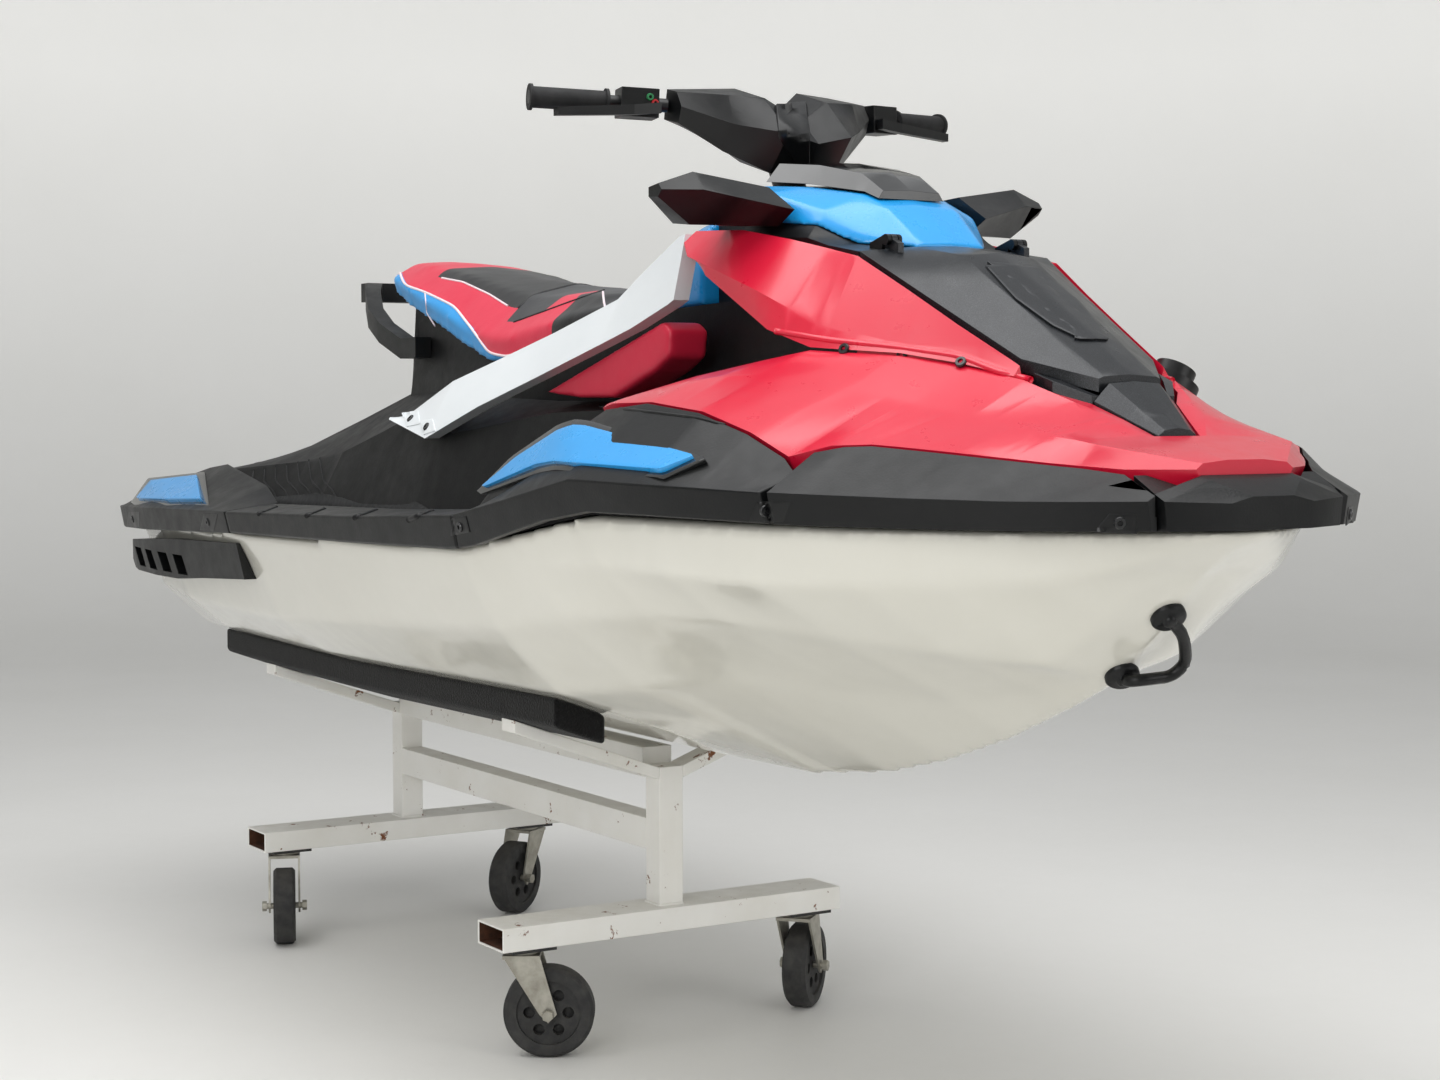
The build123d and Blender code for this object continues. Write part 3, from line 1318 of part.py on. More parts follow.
for caster_name, x, side, swivel in casters:
    trail_dir = (cos(radians(swivel)), sin(radians(swivel)), 0)
    across_dir = (sin(radians(swivel)), -cos(radians(swivel)), 0)
    stem = (x, side * caster_offset, 0)
    flat = Plane(origin=stem, x_dir=trail_dir, z_dir=(0, 0, 1))
    upright = Plane(origin=stem, x_dir=trail_dir, z_dir=across_dir)
    axle_spot = (caster_trail, wheel_diameter / 2)
    with BuildPart() as fork:
        with BuildSketch(flat.offset(crown_low)):
            Rectangle(leg_top_length, 2 * (leg_inner + leg_thickness))
        extrude(amount=crown_height)
        with BuildSketch(flat.offset(crown_low + crown_height)):
            Circle(race_diameter / 2)
        extrude(amount=race_height)
        for start in (leg_inner, -leg_inner - leg_thickness):
            with BuildSketch(upright.offset(start)) as section:
                with BuildLine():
                    Polyline(
                        (-leg_top_length / 2, crown_low + crown_height), (leg_top_length / 2, crown_low + crown_height),
                        (caster_trail + leg_foot_length / 2, axle_spot[1]),
                        (caster_trail, axle_spot[1] - leg_foot_length / 2),
                        (caster_trail - leg_foot_length / 2, axle_spot[1]), close=True,
                    )
                make_face()
            extrude(section.sketch.face(), amount=leg_thickness)
        axle_length = 2 * (leg_inner + leg_thickness + leg_gap)
        with BuildSketch(upright.offset(-axle_length / 2)) as section:
            with Locations(axle_spot):
                Circle(axle_diameter / 2)
        extrude(section.sketch.face(), amount=axle_length)
    write(fork, f"caster_fork_{caster_name}")

    with BuildPart() as core:
        with BuildSketch(upright.offset(-core_width / 2)):
            with Locations(axle_spot):
                Circle(wheel_diameter / 2 - tyre_band - seat_gap)
                Circle(axle_diameter / 2 + pin_gap, mode=Mode.SUBTRACT)
                with PolarLocations((wheel_diameter / 2 - tyre_band) / 2 + axle_diameter / 2, core_hole_count):
                    Circle(core_hole_diameter / 2, mode=Mode.SUBTRACT)
        extrude(amount=core_width)
    write(core, f"caster_core_{caster_name}")

    with BuildPart() as tyre:
        with BuildSketch(upright.offset(-tyre_width / 2)):
            with Locations(axle_spot):
                Circle(wheel_diameter / 2)
                Circle(wheel_diameter / 2 - tyre_band, mode=Mode.SUBTRACT)
        extrude(amount=tyre_width)
        rims = tyre.edges().filter_by(GeomType.CIRCLE).filter_by(
            lambda edge: abs(edge.radius - wheel_diameter / 2) < pin_gap
        )
        chamfer(rims, tyre_edge)
    write(tyre, f"caster_tyre_{caster_name}")
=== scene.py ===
import bpy
import bmesh
import json
import math
from mathutils import Matrix, Vector
from mathutils.bvhtree import BVHTree

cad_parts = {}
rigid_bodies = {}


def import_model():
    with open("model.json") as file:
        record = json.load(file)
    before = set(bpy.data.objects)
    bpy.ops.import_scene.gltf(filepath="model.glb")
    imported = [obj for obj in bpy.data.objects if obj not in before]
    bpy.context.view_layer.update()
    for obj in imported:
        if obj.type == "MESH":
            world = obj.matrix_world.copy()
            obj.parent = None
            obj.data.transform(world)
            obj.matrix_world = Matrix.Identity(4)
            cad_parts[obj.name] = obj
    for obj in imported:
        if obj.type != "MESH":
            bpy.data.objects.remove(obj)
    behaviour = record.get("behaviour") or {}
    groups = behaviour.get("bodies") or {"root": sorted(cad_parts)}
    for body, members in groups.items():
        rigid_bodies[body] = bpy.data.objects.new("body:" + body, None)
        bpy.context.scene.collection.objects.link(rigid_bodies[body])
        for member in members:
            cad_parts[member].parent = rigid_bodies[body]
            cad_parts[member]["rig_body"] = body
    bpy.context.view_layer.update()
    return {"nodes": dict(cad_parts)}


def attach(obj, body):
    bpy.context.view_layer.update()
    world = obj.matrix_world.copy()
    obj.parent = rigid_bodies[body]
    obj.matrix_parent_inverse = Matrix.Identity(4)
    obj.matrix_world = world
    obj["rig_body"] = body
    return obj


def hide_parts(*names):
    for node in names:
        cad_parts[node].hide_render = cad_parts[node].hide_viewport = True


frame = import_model()
nodes = frame["nodes"]
craft = "craft_and_dolly"
perMetre = 1000  # sizes below are in millimetres unless they say metres
print("frame loaded:", len(nodes), "solids")

# The eye that the photograph was taken with, in metres and degrees
eye = {
    "place": (3.78416, -2.19290, 1.12772),
    "turn": 58.137,
    "tilt": -3.2495,
    "roll": 0.091,
    "lens": 61.04,
    "sensor": 36.0,
    "wide": 1440,
    "high": 1080,
    "clip": 60,
}
turn = math.radians(eye["turn"])
tilt = math.radians(eye["tilt"])
look = Vector((-math.sin(turn) * math.cos(tilt), math.cos(turn) * math.cos(tilt), math.sin(tilt)))
rightHand = look.cross(Vector((0, 0, 1))).normalized()
upward = rightHand.cross(look).normalized()
spin = Matrix.Rotation(math.radians(eye["roll"]), 3, look)
rightHand = spin @ rightHand
upward = spin @ upward
focalPixels = eye["lens"] / eye["sensor"] * eye["wide"]

camData = bpy.data.cameras.new("photoEye")
camData.lens = eye["lens"]
camData.sensor_width = eye["sensor"]
camData.clip_end = eye["clip"]
camera = bpy.data.objects.new("photoEye", camData)
bpy.context.scene.collection.objects.link(camera)
facing = Matrix((rightHand, upward, -look)).transposed().to_4x4()
camera.matrix_world = Matrix.Translation(eye["place"]) @ facing
bpy.context.scene.camera = camera
bpy.context.scene.view_settings.view_transform = "Standard"


# Direction of the sight line through a point of the photograph, which is 1440 x 1080
def sightLine(px, py):
    across = rightHand * ((px - eye["wide"] / 2) / focalPixels)
    return look + across + upward * ((eye["high"] / 2 - py) / focalPixels)


# Colours are written as sRGB hex and used as linear values
def toLinear(hexColour):
    shades = [int(hexColour[i:i + 2], 16) / 255 for i in (1, 3, 5)]
    # the standard sRGB curve
    return tuple(c / 12.92 if c <= 0.04045 else ((c + 0.055) / 1.055) ** 2.4 for c in shades) + (1.0,)


# Adds one node, sets its values or sockets, and joins what is given
def addNode(tree, kind, settings=None, links=None):
    node = tree.nodes.new(kind)
    for key, value in (settings or {}).items():
        if isinstance(key, int) or key in node.inputs:
            node.inputs[key].default_value = value
        else:
            setattr(node, key, value)
    for key, source in (links or {}).items():
        tree.links.new(source, node.inputs[key])
    return node


# Turns one range of a value into another
def ramp(tree, value, source, target):
    ends = {"From Min": source[0], "From Max": source[1], "To Min": target[0], "To Max": target[1]}
    return addNode(tree, "ShaderNodeMapRange", ends, {"Value": value}).outputs["Result"]


# Noise whose largest clouds are about the size given
def noise(tree, place, size, detail, roughness=0.5):
    facts = {"Scale": perMetre / size, "Detail": detail, "Roughness": roughness}
    return addNode(tree, "ShaderNodeTexNoise", facts, {"Vector": place}).outputs["Fac"]


# Lays a shade over a colour by a share
def tinted(tree, colour, shade, share):
    facts = {"data_type": "RGBA", 7: toLinear(shade)}
    return addNode(tree, "ShaderNodeMix", facts, {0: share, 6: colour}).outputs[2]


# One finish from its facts: colours, gloss, grain and dirt at real sizes in millimetres
def makeFinish(name, facts):
    material = bpy.data.materials.new(name)
    material.use_nodes = True
    tree = material.node_tree
    tree.nodes.clear()
    place = addNode(tree, "ShaderNodeTexCoord").outputs["Object"]
    base = toLinear(facts["colour"])
    second = toLinear(facts["patchColour"])
    spread = ramp(
        tree, noise(tree, place, facts["patch"], 5.0, 0.6), (0.35, 0.7), (0.0, facts.get("patchShare", 0.5))
    )
    tint = addNode(tree, "ShaderNodeMix", {"data_type": "RGBA", 6: base, 7: second}, {0: spread})
    colour = tint.outputs[2]
    wearSize = 40
    wear = noise(tree, place, wearSize, 6.0, 0.65)
    rough = ramp(tree, wear, (0.3, 0.7), facts["rough"])
    if "dust" in facts:  # settles on faces that look up, thicker in patches
        normal = addNode(tree, "ShaderNodeSeparateXYZ", {}, {
            0: addNode(tree, "ShaderNodeNewGeometry").outputs["Normal"],
        })
        flat = ramp(tree, normal.outputs["Z"], (0.4, 1.0), (0.0, facts["dust"]))
        lies = addNode(tree, "ShaderNodeMath", {"operation": "MULTIPLY"}, {0: flat, 1: wear}).outputs[0]
        colour = tinted(tree, colour, facts["dustColour"], lies)
        rough = addNode(
            tree, "ShaderNodeMath", {"operation": "ADD", "use_clamp": True}, {0: rough, 1: lies}
        ).outputs[0]
    if "weave" in facts:  # crossing threads
        pitch = perMetre / facts["weave"] * math.pi
        parts = addNode(tree, "ShaderNodeSeparateXYZ", {}, {0: place})
        waves = []
        for axis in ("X", "Y", "Z"):
            stretched = addNode(
                tree, "ShaderNodeMath", {"operation": "MULTIPLY", 1: pitch}, {0: parts.outputs[axis]}
            )
            wave = addNode(tree, "ShaderNodeMath", {"operation": "SINE"}, {0: stretched.outputs[0]})
            waves.append(wave.outputs[0])
        crossed = addNode(tree, "ShaderNodeMath", {"operation": "ADD"}, {0: waves[0], 1: waves[1]})
        height = addNode(
            tree, "ShaderNodeMath", {"operation": "ADD"}, {0: crossed.outputs[0], 1: waves[2]}
        ).outputs[0]
    elif "cells" in facts:  # pebbled grain, as moulded from an etched tool
        height = addNode(
            tree, "ShaderNodeTexVoronoi", {"feature": "SMOOTH_F1", "Scale": perMetre / facts["grain"]},
            {"Vector": place}
        ).outputs["Distance"]
    else:
        height = noise(tree, place, facts["grain"], 3.0, 0.6)
    bump = addNode(
        tree, "ShaderNodeBump", {"Strength": facts["bump"], "Distance": facts["depth"] / perMetre},
        {"Height": height}
    )
    normal = bump.outputs["Normal"]
    if "speckle" in facts:  # fine flake or grain in the colour itself
        fine = noise(tree, place, facts["speckleSize"], 1.0)
        share = ramp(tree, fine, (0.45, 0.7), (0.0, facts["speckleShare"]))
        colour = tinted(tree, colour, facts["speckle"], share)
    if "chips" in facts:  # paint gone down to rust, with a narrow edge to each flake
        chipEdge = 0.025
        flakes = noise(tree, place, facts["chipSize"], 8.0, 0.7)
        gone = ramp(tree, flakes, (facts["chipFrom"], facts["chipFrom"] + chipEdge), (0.0, 1.0))
        colour = tinted(tree, colour, facts["chips"], gone)
        rough = addNode(
            tree, "ShaderNodeMix", {"data_type": "FLOAT", 3: 0.85}, {0: gone, 2: rough}
        ).outputs[0]
    sockets = {
        "Metallic": facts.get("metal", 0.0),
        "Coat Weight": facts.get("coat", 0.0),
        "Coat Roughness": facts.get("coatRough", 0.06),
        "Sheen Weight": facts.get("sheen", 0.0),
        "Specular IOR Level": facts.get("specular", 0.5),
    }
    if "ior" in facts:
        sockets["IOR"] = facts["ior"]
    shader = addNode(
        tree, "ShaderNodeBsdfPrincipled", sockets,
        {"Base Color": colour, "Roughness": rough, "Normal": normal}
    )
    if facts.get("coat"):
        tree.links.new(normal, shader.inputs["Coat Normal"])
    addNode(tree, "ShaderNodeOutputMaterial", {}, {"Surface": shader.outputs[0]})
    return material


# Gelcoat over glass fibre: deep gloss with a faint orange peel
gelcoat = makeFinish("gelcoatCream", {
    "colour": "#E4E2D8", "patchColour": "#D9D6CA", "patch": 420, "rough": (0.16, 0.26), "coat": 0.8,
    "grain": 14, "bump": 0.12, "depth": 0.25, "ior": 1.5,
})
# Same gelcoat in red on the moulded deck panels: a softer satin than the hull
redGelcoat = makeFinish("gelcoatCrimson", {
    "colour": "#DA1638", "patchColour": "#CF1031", "patch": 300, "rough": (0.26, 0.36), "coat": 0.5,
    "coatRough": 0.16, "grain": 9, "bump": 0.12, "depth": 0.2, "ior": 1.5,
})
# Painted ABS in sky blue: even, light satin
bluePaint = makeFinish("paintedAbsSky", {
    "colour": "#1E9FE8", "patchColour": "#1894DC", "patch": 200, "rough": (0.24, 0.34), "coat": 0.4,
    "coatRough": 0.12, "grain": 6, "bump": 0.1, "depth": 0.15, "ior": 1.5,
})
# Moulded thermoplastic with an etched grain: catches the light in a grey bloom
blackMoulded = makeFinish("grainedTpoBlack", {
    "colour": "#08090A", "patchColour": "#0D0E10", "patch": 120, "rough": (0.32, 0.44), "grain": 3.2,
    "cells": True, "bump": 0.4, "depth": 0.3, "specular": 0.34, "dust": 0.05, "dustColour": "#8A8B88",
    "ior": 1.5,
})
# The deck moulding in the same plastic: duller and softer than the rails
blackDeck = makeFinish("deckPolymerBlack", {
    "colour": "#09090A", "patchColour": "#0F1011", "patch": 160, "rough": (0.42, 0.56), "grain": 4.0,
    "cells": True, "bump": 0.4, "depth": 0.35, "specular": 0.34, "dust": 0.06, "dustColour": "#7C7C78",
    "ior": 1.49,
})
# High gloss black PMMA round the dash
glossBlack = makeFinish("pmmaBlack", {
    "colour": "#0C0D0E", "patchColour": "#121314", "patch": 90, "rough": (0.08, 0.18), "coat": 0.6,
    "grain": 20, "bump": 0.05, "depth": 0.1, "ior": 1.49,
})
# Hood skin, dark mica paint: fine bright flakes under a satin lacquer
greyMica = makeFinish("micaPaintGraphite", {
    "colour": "#121417", "patchColour": "#17191C", "patch": 220, "rough": (0.26, 0.38), "metal": 0.3,
    "coat": 0.25, "coatRough": 0.22, "specular": 0.4, "speckle": "#5A5E64", "speckleSize": 1.2,
    "speckleShare": 0.3, "grain": 3.0, "bump": 0.05, "depth": 0.05,
})
# Powder-coated beam: cool white, satin with a very fine texture
whiteBeam = makeFinish("powderCoatWhite", {
    "colour": "#E8ECEE", "patchColour": "#DEE3E6", "patch": 180, "rough": (0.3, 0.42), "coat": 0.2,
    "coatRough": 0.2, "grain": 5, "bump": 0.12, "depth": 0.15, "ior": 1.5,
})
# Closed-cell knee pad skin in red
redPad = makeFinish("urethaneSkinRed", {
    "colour": "#D62443", "patchColour": "#C91D3B", "patch": 130, "rough": (0.36, 0.5), "grain": 3.6,
    "cells": True, "bump": 0.25, "depth": 0.25, "ior": 1.5,
})
# Pod and switchgear: fine matt moulding
podBlack = makeFinish("nylonBlack", {
    "colour": "#08090A", "patchColour": "#0E0F11", "patch": 80, "rough": (0.28, 0.42), "specular": 0.36,
    "grain": 2.4, "cells": True, "bump": 0.3, "depth": 0.2, "ior": 1.53,
})
# Painted steel tube of the bars and levers: a thin, even satin line of light
barMetal = makeFinish("paintedSteelBlack", {
    "colour": "#0C0D0E", "patchColour": "#131416", "patch": 60, "rough": (0.3, 0.42), "grain": 3,
    "bump": 0.15, "depth": 0.1, "ior": 1.5,
})
# Grip rubber: dull, with a slight bloom where hands have been
gripRubber = makeFinish("nitrileRubber", {
    "colour": "#0B0B0C", "patchColour": "#151517", "patch": 26, "rough": (0.6, 0.78), "grain": 2.0,
    "bump": 0.4, "depth": 0.3, "ior": 1.52,
})
# Cast aluminium pump with an oxide skin
pumpCast = makeFinish("castAluminium", {
    "colour": "#9EA1A3", "patchColour": "#7E8285", "patch": 50, "rough": (0.38, 0.6), "metal": 1.0,
    "grain": 2.4, "bump": 0.35, "depth": 0.25,
})
# Polished stainless blades with faint turning marks
impellerSteel = makeFinish("stainlessPolished", {
    "colour": "#BFC2C4", "patchColour": "#A9ADB0", "patch": 30, "rough": (0.14, 0.28), "metal": 1.0,
    "grain": 1.6, "bump": 0.08, "depth": 0.08,
})
# Coated steel of screws and bolts: small sharp glints on black
eyeSteel = makeFinish("coatedSteelBlack", {
    "colour": "#111214", "patchColour": "#1B1D1F", "patch": 30, "rough": (0.24, 0.4), "coat": 0.3,
    "grain": 3, "bump": 0.15, "depth": 0.12, "ior": 1.5,
})
# Brush-painted steel: yellowed white enamel, chipped to rust at knocks
dollyPaint = makeFinish("enamelChippedWhite", {
    "colour": "#F3F2EE", "patchColour": "#E4E1D8", "patch": 140, "rough": (0.3, 0.5), "grain": 9,
    "bump": 0.25, "depth": 0.4, "dust": 0.3, "dustColour": "#A79F90", "chips": "#7A4A2C", "chipSize": 48,
    "chipFrom": 0.63, "ior": 1.5,
})
# Black marine carpet over timber
bunkCarpet = makeFinish("polyesterCarpetBlack", {
    "colour": "#070707", "patchColour": "#0E0E0F", "patch": 60, "rough": (0.85, 0.98), "sheen": 0.12,
    "specular": 0.2, "grain": 4.5, "bump": 1.0, "depth": 2.5, "speckle": "#1C1C1E", "speckleSize": 5,
    "speckleShare": 0.5, "ior": 1.5,
})
# Zinc-plated pressings gone dull
zinc = makeFinish("zincPlate", {
    "colour": "#B9B6AC", "patchColour": "#8F8B80", "patch": 30, "patchShare": 0.9, "rough": (0.34, 0.58),
    "metal": 0.85, "grain": 5, "bump": 0.15, "depth": 0.15, "chips": "#6E4E36", "chipSize": 22,
    "chipFrom": 0.69,
})
# Top plates of the casters: blackened steel going brown
blackSteel = makeFinish("blackenedSteel", {
    "colour": "#202022", "patchColour": "#34322F", "patch": 26, "patchShare": 0.8, "rough": (0.4, 0.62),
    "grain": 4, "bump": 0.2, "depth": 0.2, "chips": "#5B4030", "chipSize": 24, "chipFrom": 0.66, "ior": 1.5
})
# Solid wheel rubber: greyed and scuffed
tyreRubber = makeFinish("wheelRubberWorn", {
    "colour": "#252526", "patchColour": "#3C3B39", "patch": 24, "patchShare": 0.9, "rough": (0.62, 0.86),
    "grain": 3.0, "bump": 0.5, "depth": 0.5, "dust": 0.2, "dustColour": "#7B756A", "ior": 1.52
})
# Silvered mirror glass: a clear picture of the bright room
mirrorGlass = makeFinish("silveredGlass", {
    "colour": "#C9CED2", "patchColour": "#C2C8CC", "patch": 60, "rough": (0.02, 0.05), "metal": 1.0,
    "grain": 60, "bump": 0.01, "depth": 0.02,
})
# Painted cast iron of the block inside the hull: dull and rough
engineGrey = makeFinish("castIronPainted", {
    "colour": "#5A5C5E", "patchColour": "#4A4C4E", "patch": 70, "rough": (0.45, 0.6), "grain": 4,
    "bump": 0.3, "depth": 0.3, "ior": 1.5,
})
# Black vinyl on the bare solid of the seat, which the sewn cushion stands for
blackVinyl = makeFinish("vinylBlack", {
    "colour": "#0C0C0D", "patchColour": "#121213", "patch": 90, "rough": (0.4, 0.52), "grain": 2.6,
    "cells": True, "bump": 0.35, "depth": 0.25, "ior": 1.5,
})
print("finishes made")

# The finish that each solid wears
finishes = {
    "hull": gelcoat, "engine_block": engineGrey, "deck": blackDeck,
    "bow_bumper": blackMoulded, "front_bumpers": blackMoulded, "side_wings": blackMoulded,
    "sills": blackMoulded, "rear_bumpers": blackMoulded, "sponsons": blackMoulded,
    "lower_cowl": redGelcoat, "side_fairings": redGelcoat, "hood": greyMica,
    "hood_trim": greyMica, "hood_shoulders": blackMoulded, "upper_cowl": bluePaint,
    "dash_cover": glossBlack, "mirrors": podBlack, "mirror_glasses": mirrorGlass,
    "tank_cover": bluePaint, "side_beams": whiteBeam, "knee_pads": redPad,
    "seat": blackVinyl, "seat_latch": podBlack, "grab_handle": blackMoulded,
    "fuel_cap": podBlack, "tow_eye": eyeSteel, "pump_housing": pumpCast,
    "intake_grate": pumpCast, "ride_plate": pumpCast, "steering_nozzle": pumpCast,
    "reverse_bucket": pumpCast, "impeller": impellerSteel, "driveshaft": impellerSteel,
    "handlebar_pod": podBlack, "handlebar_tubes": barMetal, "grips": gripRubber,
    "switch_blocks": podBlack, "levers": barMetal,
    "cross_members": dollyPaint, "dolly_posts": dollyPaint, "dolly_rails": dollyPaint,
    "cross_arms": dollyPaint, "bunks": bunkCarpet, "caster_plates": blackSteel,
}
for name in nodes:
    if name.startswith("caster_fork"):
        finishes[name] = zinc
    elif name.startswith("caster_core") or name.startswith("caster_tyre"):
        finishes[name] = tyreRubber
for name, node in nodes.items():
    for i in range(max(1, len(node.material_slots))):
        if node.material_slots:
            node.material_slots[i].material = finishes[name]
        else:
            node.data.materials.append(finishes[name])

# Search trees, each made when a solid or piece is first asked for
trees = {}


# Where a sight line first meets one of the named solids: the place, its normal and how far away
def meet(px, py, *names):
    ray = sightLine(px, py).normalized()
    best = None
    for name in names:
        if name not in trees:
            mesh = nodes[name].data if name in nodes else bpy.data.objects[name].data
            trees[name] = BVHTree.FromPolygons(
                [v.co[:] for v in mesh.vertices], [p.vertices[:] for p in mesh.polygons]
            )
        place, normal, _, far = trees[name].ray_cast(Vector(eye["place"]), ray)
        if place is not None and (best is None or far < best[2]):
            if normal.dot(ray) > 0:
                normal = -normal
            best = (place, normal, far)
    return best


# Radius of the rounded creases on the skin of each solid
roundings = {
    "bow_bumper": 5, "front_bumpers": 5, "side_wings": 5, "sills": 5, "rear_bumpers": 5, "sponsons": 3,
    "lower_cowl": 5, "side_fairings": 5, "hood": 4, "hood_trim": 3, "hood_shoulders": 4,
    "side_beams": 5, "deck": 6, "grab_handle": 8, "mirrors": 4,
    "handlebar_pod": 4, "switch_blocks": 3, "seat_latch": 2, "dash_cover": 2,
    "cross_members": 2, "dolly_posts": 2, "dolly_rails": 2, "cross_arms": 2, "bunks": 8,
}
# Corners closer than the weld, in metres, become one; angles in degrees
creases = {"weld": 0.00005, "flat": 1.0, "sharp": 28, "segments": 3, "weight": 60}


# The skin of a solid with its creases rounded, standing for that solid
def roundSkin(name, width):
    mesh = nodes[name].data.copy()
    mesh.name = name + "_skin"
    piece = bpy.data.objects.new(name + "_skin", mesh)
    bpy.context.scene.collection.objects.link(piece)
    bm = bmesh.new()
    bm.from_mesh(mesh)
    bmesh.ops.remove_doubles(bm, verts=bm.verts, dist=creases["weld"])
    bmesh.ops.dissolve_limit(bm, angle_limit=math.radians(creases["flat"]), verts=bm.verts, edges=bm.edges)
    for face in bm.faces:
        face.smooth = True
    for edge in bm.edges:
        edge.smooth = True
    bm.to_mesh(mesh)
    bm.free()
    if "custom_normal" in mesh.attributes:
        mesh.attributes.remove(mesh.attributes["custom_normal"])
    bevel = piece.modifiers.new("roundedCreases", "BEVEL")
    bevel.width = width / perMetre
    bevel.segments = creases["segments"]
    bevel.limit_method = "ANGLE"
    bevel.angle_limit = math.radians(creases["sharp"])
    weighted = piece.modifiers.new("panelNormals", "WEIGHTED_NORMAL")
    weighted.keep_sharp = True
    weighted.weight = creases["weight"]
    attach(piece, nodes[name]["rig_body"])
    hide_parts(name)


# Moulded panels whose creases run out softly: grain of the new mesh in millimetres and passes of smoothing
softened = {"hull": (10.0, 9), "upper_cowl": (4.5, 8), "tank_cover": (4.5, 8), "knee_pads": (5.0, 16)}


# The skin of a solid meshed afresh and smoothed, standing for that solid
def softSkin(name, grain, passes):
    piece = bpy.data.objects.new(name + "_skin", nodes[name].data.copy())
    bpy.context.scene.collection.objects.link(piece)
    even = piece.modifiers.new("evenMesh", "REMESH")
    even.mode = "VOXEL"
    even.voxel_size = grain / perMetre
    even.use_smooth_shade = True
    soft = piece.modifiers.new("softCreases", "SMOOTH")
    soft.factor = 0.5
    soft.iterations = passes
    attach(piece, nodes[name]["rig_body"])
    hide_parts(name)


for name, facts in softened.items():
    softSkin(name, *facts)
for name, width in roundings.items():
    roundSkin(name, width)
print("creases rounded on", len(softened) + len(roundings), "solids")

# Painted floor that runs up into a round wall, and plain soft light: metres, and degrees to a step
studio = {
    "floor": "#E9E8E5", "floorPatch": "#E3E2DE", "wall": "#F2F2F0", "air": "#F4F6F8",
    "middle": 0.02, "flat": 7.0, "rise": 3.0, "tall": 7.0, "arc": 9, "slice": 5,
    "worldLevel": 0.55, "wallGlow": 0.38, "glowFull": 3.0,
}
floorMesh = bpy.data.meshes.new("studioFloor")
bm = bmesh.new()
profile = [(studio["middle"], 0.0)]
for i in range(90 // studio["arc"] + 1):
    a = math.radians(studio["arc"] * i)
    profile.append((studio["flat"] + studio["rise"] * math.sin(a), studio["rise"] * (1 - math.cos(a))))
profile.append((studio["flat"] + studio["rise"], studio["tall"]))
slices = 360 // studio["slice"]
rows = []
for k in range(slices):
    a = math.radians(studio["slice"] * k)
    rows.append([bm.verts.new((r * math.cos(a), r * math.sin(a), z)) for r, z in profile])
for k in range(slices):
    here, ahead = rows[k], rows[(k + 1) % slices]
    for i in range(len(profile) - 1):
        bm.faces.new((here[i], here[i + 1], ahead[i + 1], ahead[i]))
bm.faces.new([row[0] for row in rows])
for face in bm.faces:
    face.smooth = True
bm.to_mesh(floorMesh)
bm.free()
floor = bpy.data.objects.new("studioFloor", floorMesh)
bpy.context.scene.collection.objects.link(floor)
# Matt floor paint with faint wide patches
floorFinish = makeFinish("paintedFloor", {
    "colour": studio["floor"], "patchColour": studio["floorPatch"], "patch": 900, "rough": (0.5, 0.65),
    "grain": 8, "bump": 0.05, "depth": 0.2,
})
floorMesh.materials.append(floorFinish)
# The wall glows a little for the camera only, so the room reads as bright without lighting the craft
paint = floorFinish.node_tree
height = addNode(
    paint, "ShaderNodeSeparateXYZ", {}, {0: addNode(paint, "ShaderNodeTexCoord").outputs["Object"]}
)
wallGlow = ramp(paint, height.outputs["Z"], (0.0, studio["glowFull"]), (0.0, studio["wallGlow"]))
cameraRay = addNode(paint, "ShaderNodeLightPath").outputs["Is Camera Ray"]
seen = addNode(paint, "ShaderNodeMath", {"operation": "MULTIPLY"}, {0: wallGlow, 1: cameraRay})
paintShader = next(node for node in paint.nodes if node.type == "BSDF_PRINCIPLED")
paintShader.inputs["Emission Color"].default_value = toLinear(studio["wall"])
paint.links.new(seen.outputs[0], paintShader.inputs["Emission Strength"])

world = bpy.data.worlds.new("studioAir")
world.use_nodes = True
bpy.context.scene.world = world
air = world.node_tree
air.nodes.clear()
glow = addNode(air, "ShaderNodeBackground", {
    "Color": toLinear(studio["air"]), "Strength": studio["worldLevel"],
})
addNode(air, "ShaderNodeOutputWorld", {}, {"Surface": glow.outputs[0]})

# Three soft lamps: places, aims and sizes in metres
lamps = {
    "topSoftbox": {"place": (0.6, -0.6, 4.2), "aim": (0, 0, 0.8), "size": (5.0, 3.0), "watts": 135},
    "frontSoftbox": {"place": (3.6, -4.2, 2.4), "aim": (0.2, 0, 0.9), "size": (2.6, 2.2), "watts": 80},
    "bowSoftbox": {"place": (4.6, 1.8, 2.2), "aim": (0.8, 0, 0.9), "size": (2.0, 2.0), "watts": 26},
}
for name, facts in lamps.items():
    data = bpy.data.lights.new(name, "AREA")
    data.shape = "RECTANGLE"
    data.size, data.size_y = facts["size"]
    data.energy = facts["watts"]
    lamp = bpy.data.objects.new(name, data)
    bpy.context.scene.collection.objects.link(lamp)
    lamp.location = facts["place"]
    lamp.rotation_euler = (Vector(facts["aim"]) - Vector(facts["place"])).to_track_quat("-Z", "Y").to_euler()
print("studio ready")


# The place on the sight line through a picture point at the given distance to the side, in metres
def atSide(px, py, aside):
    ray = sightLine(px, py)
    return Vector(eye["place"]) + ray * ((aside - eye["place"][1]) / ray.y)


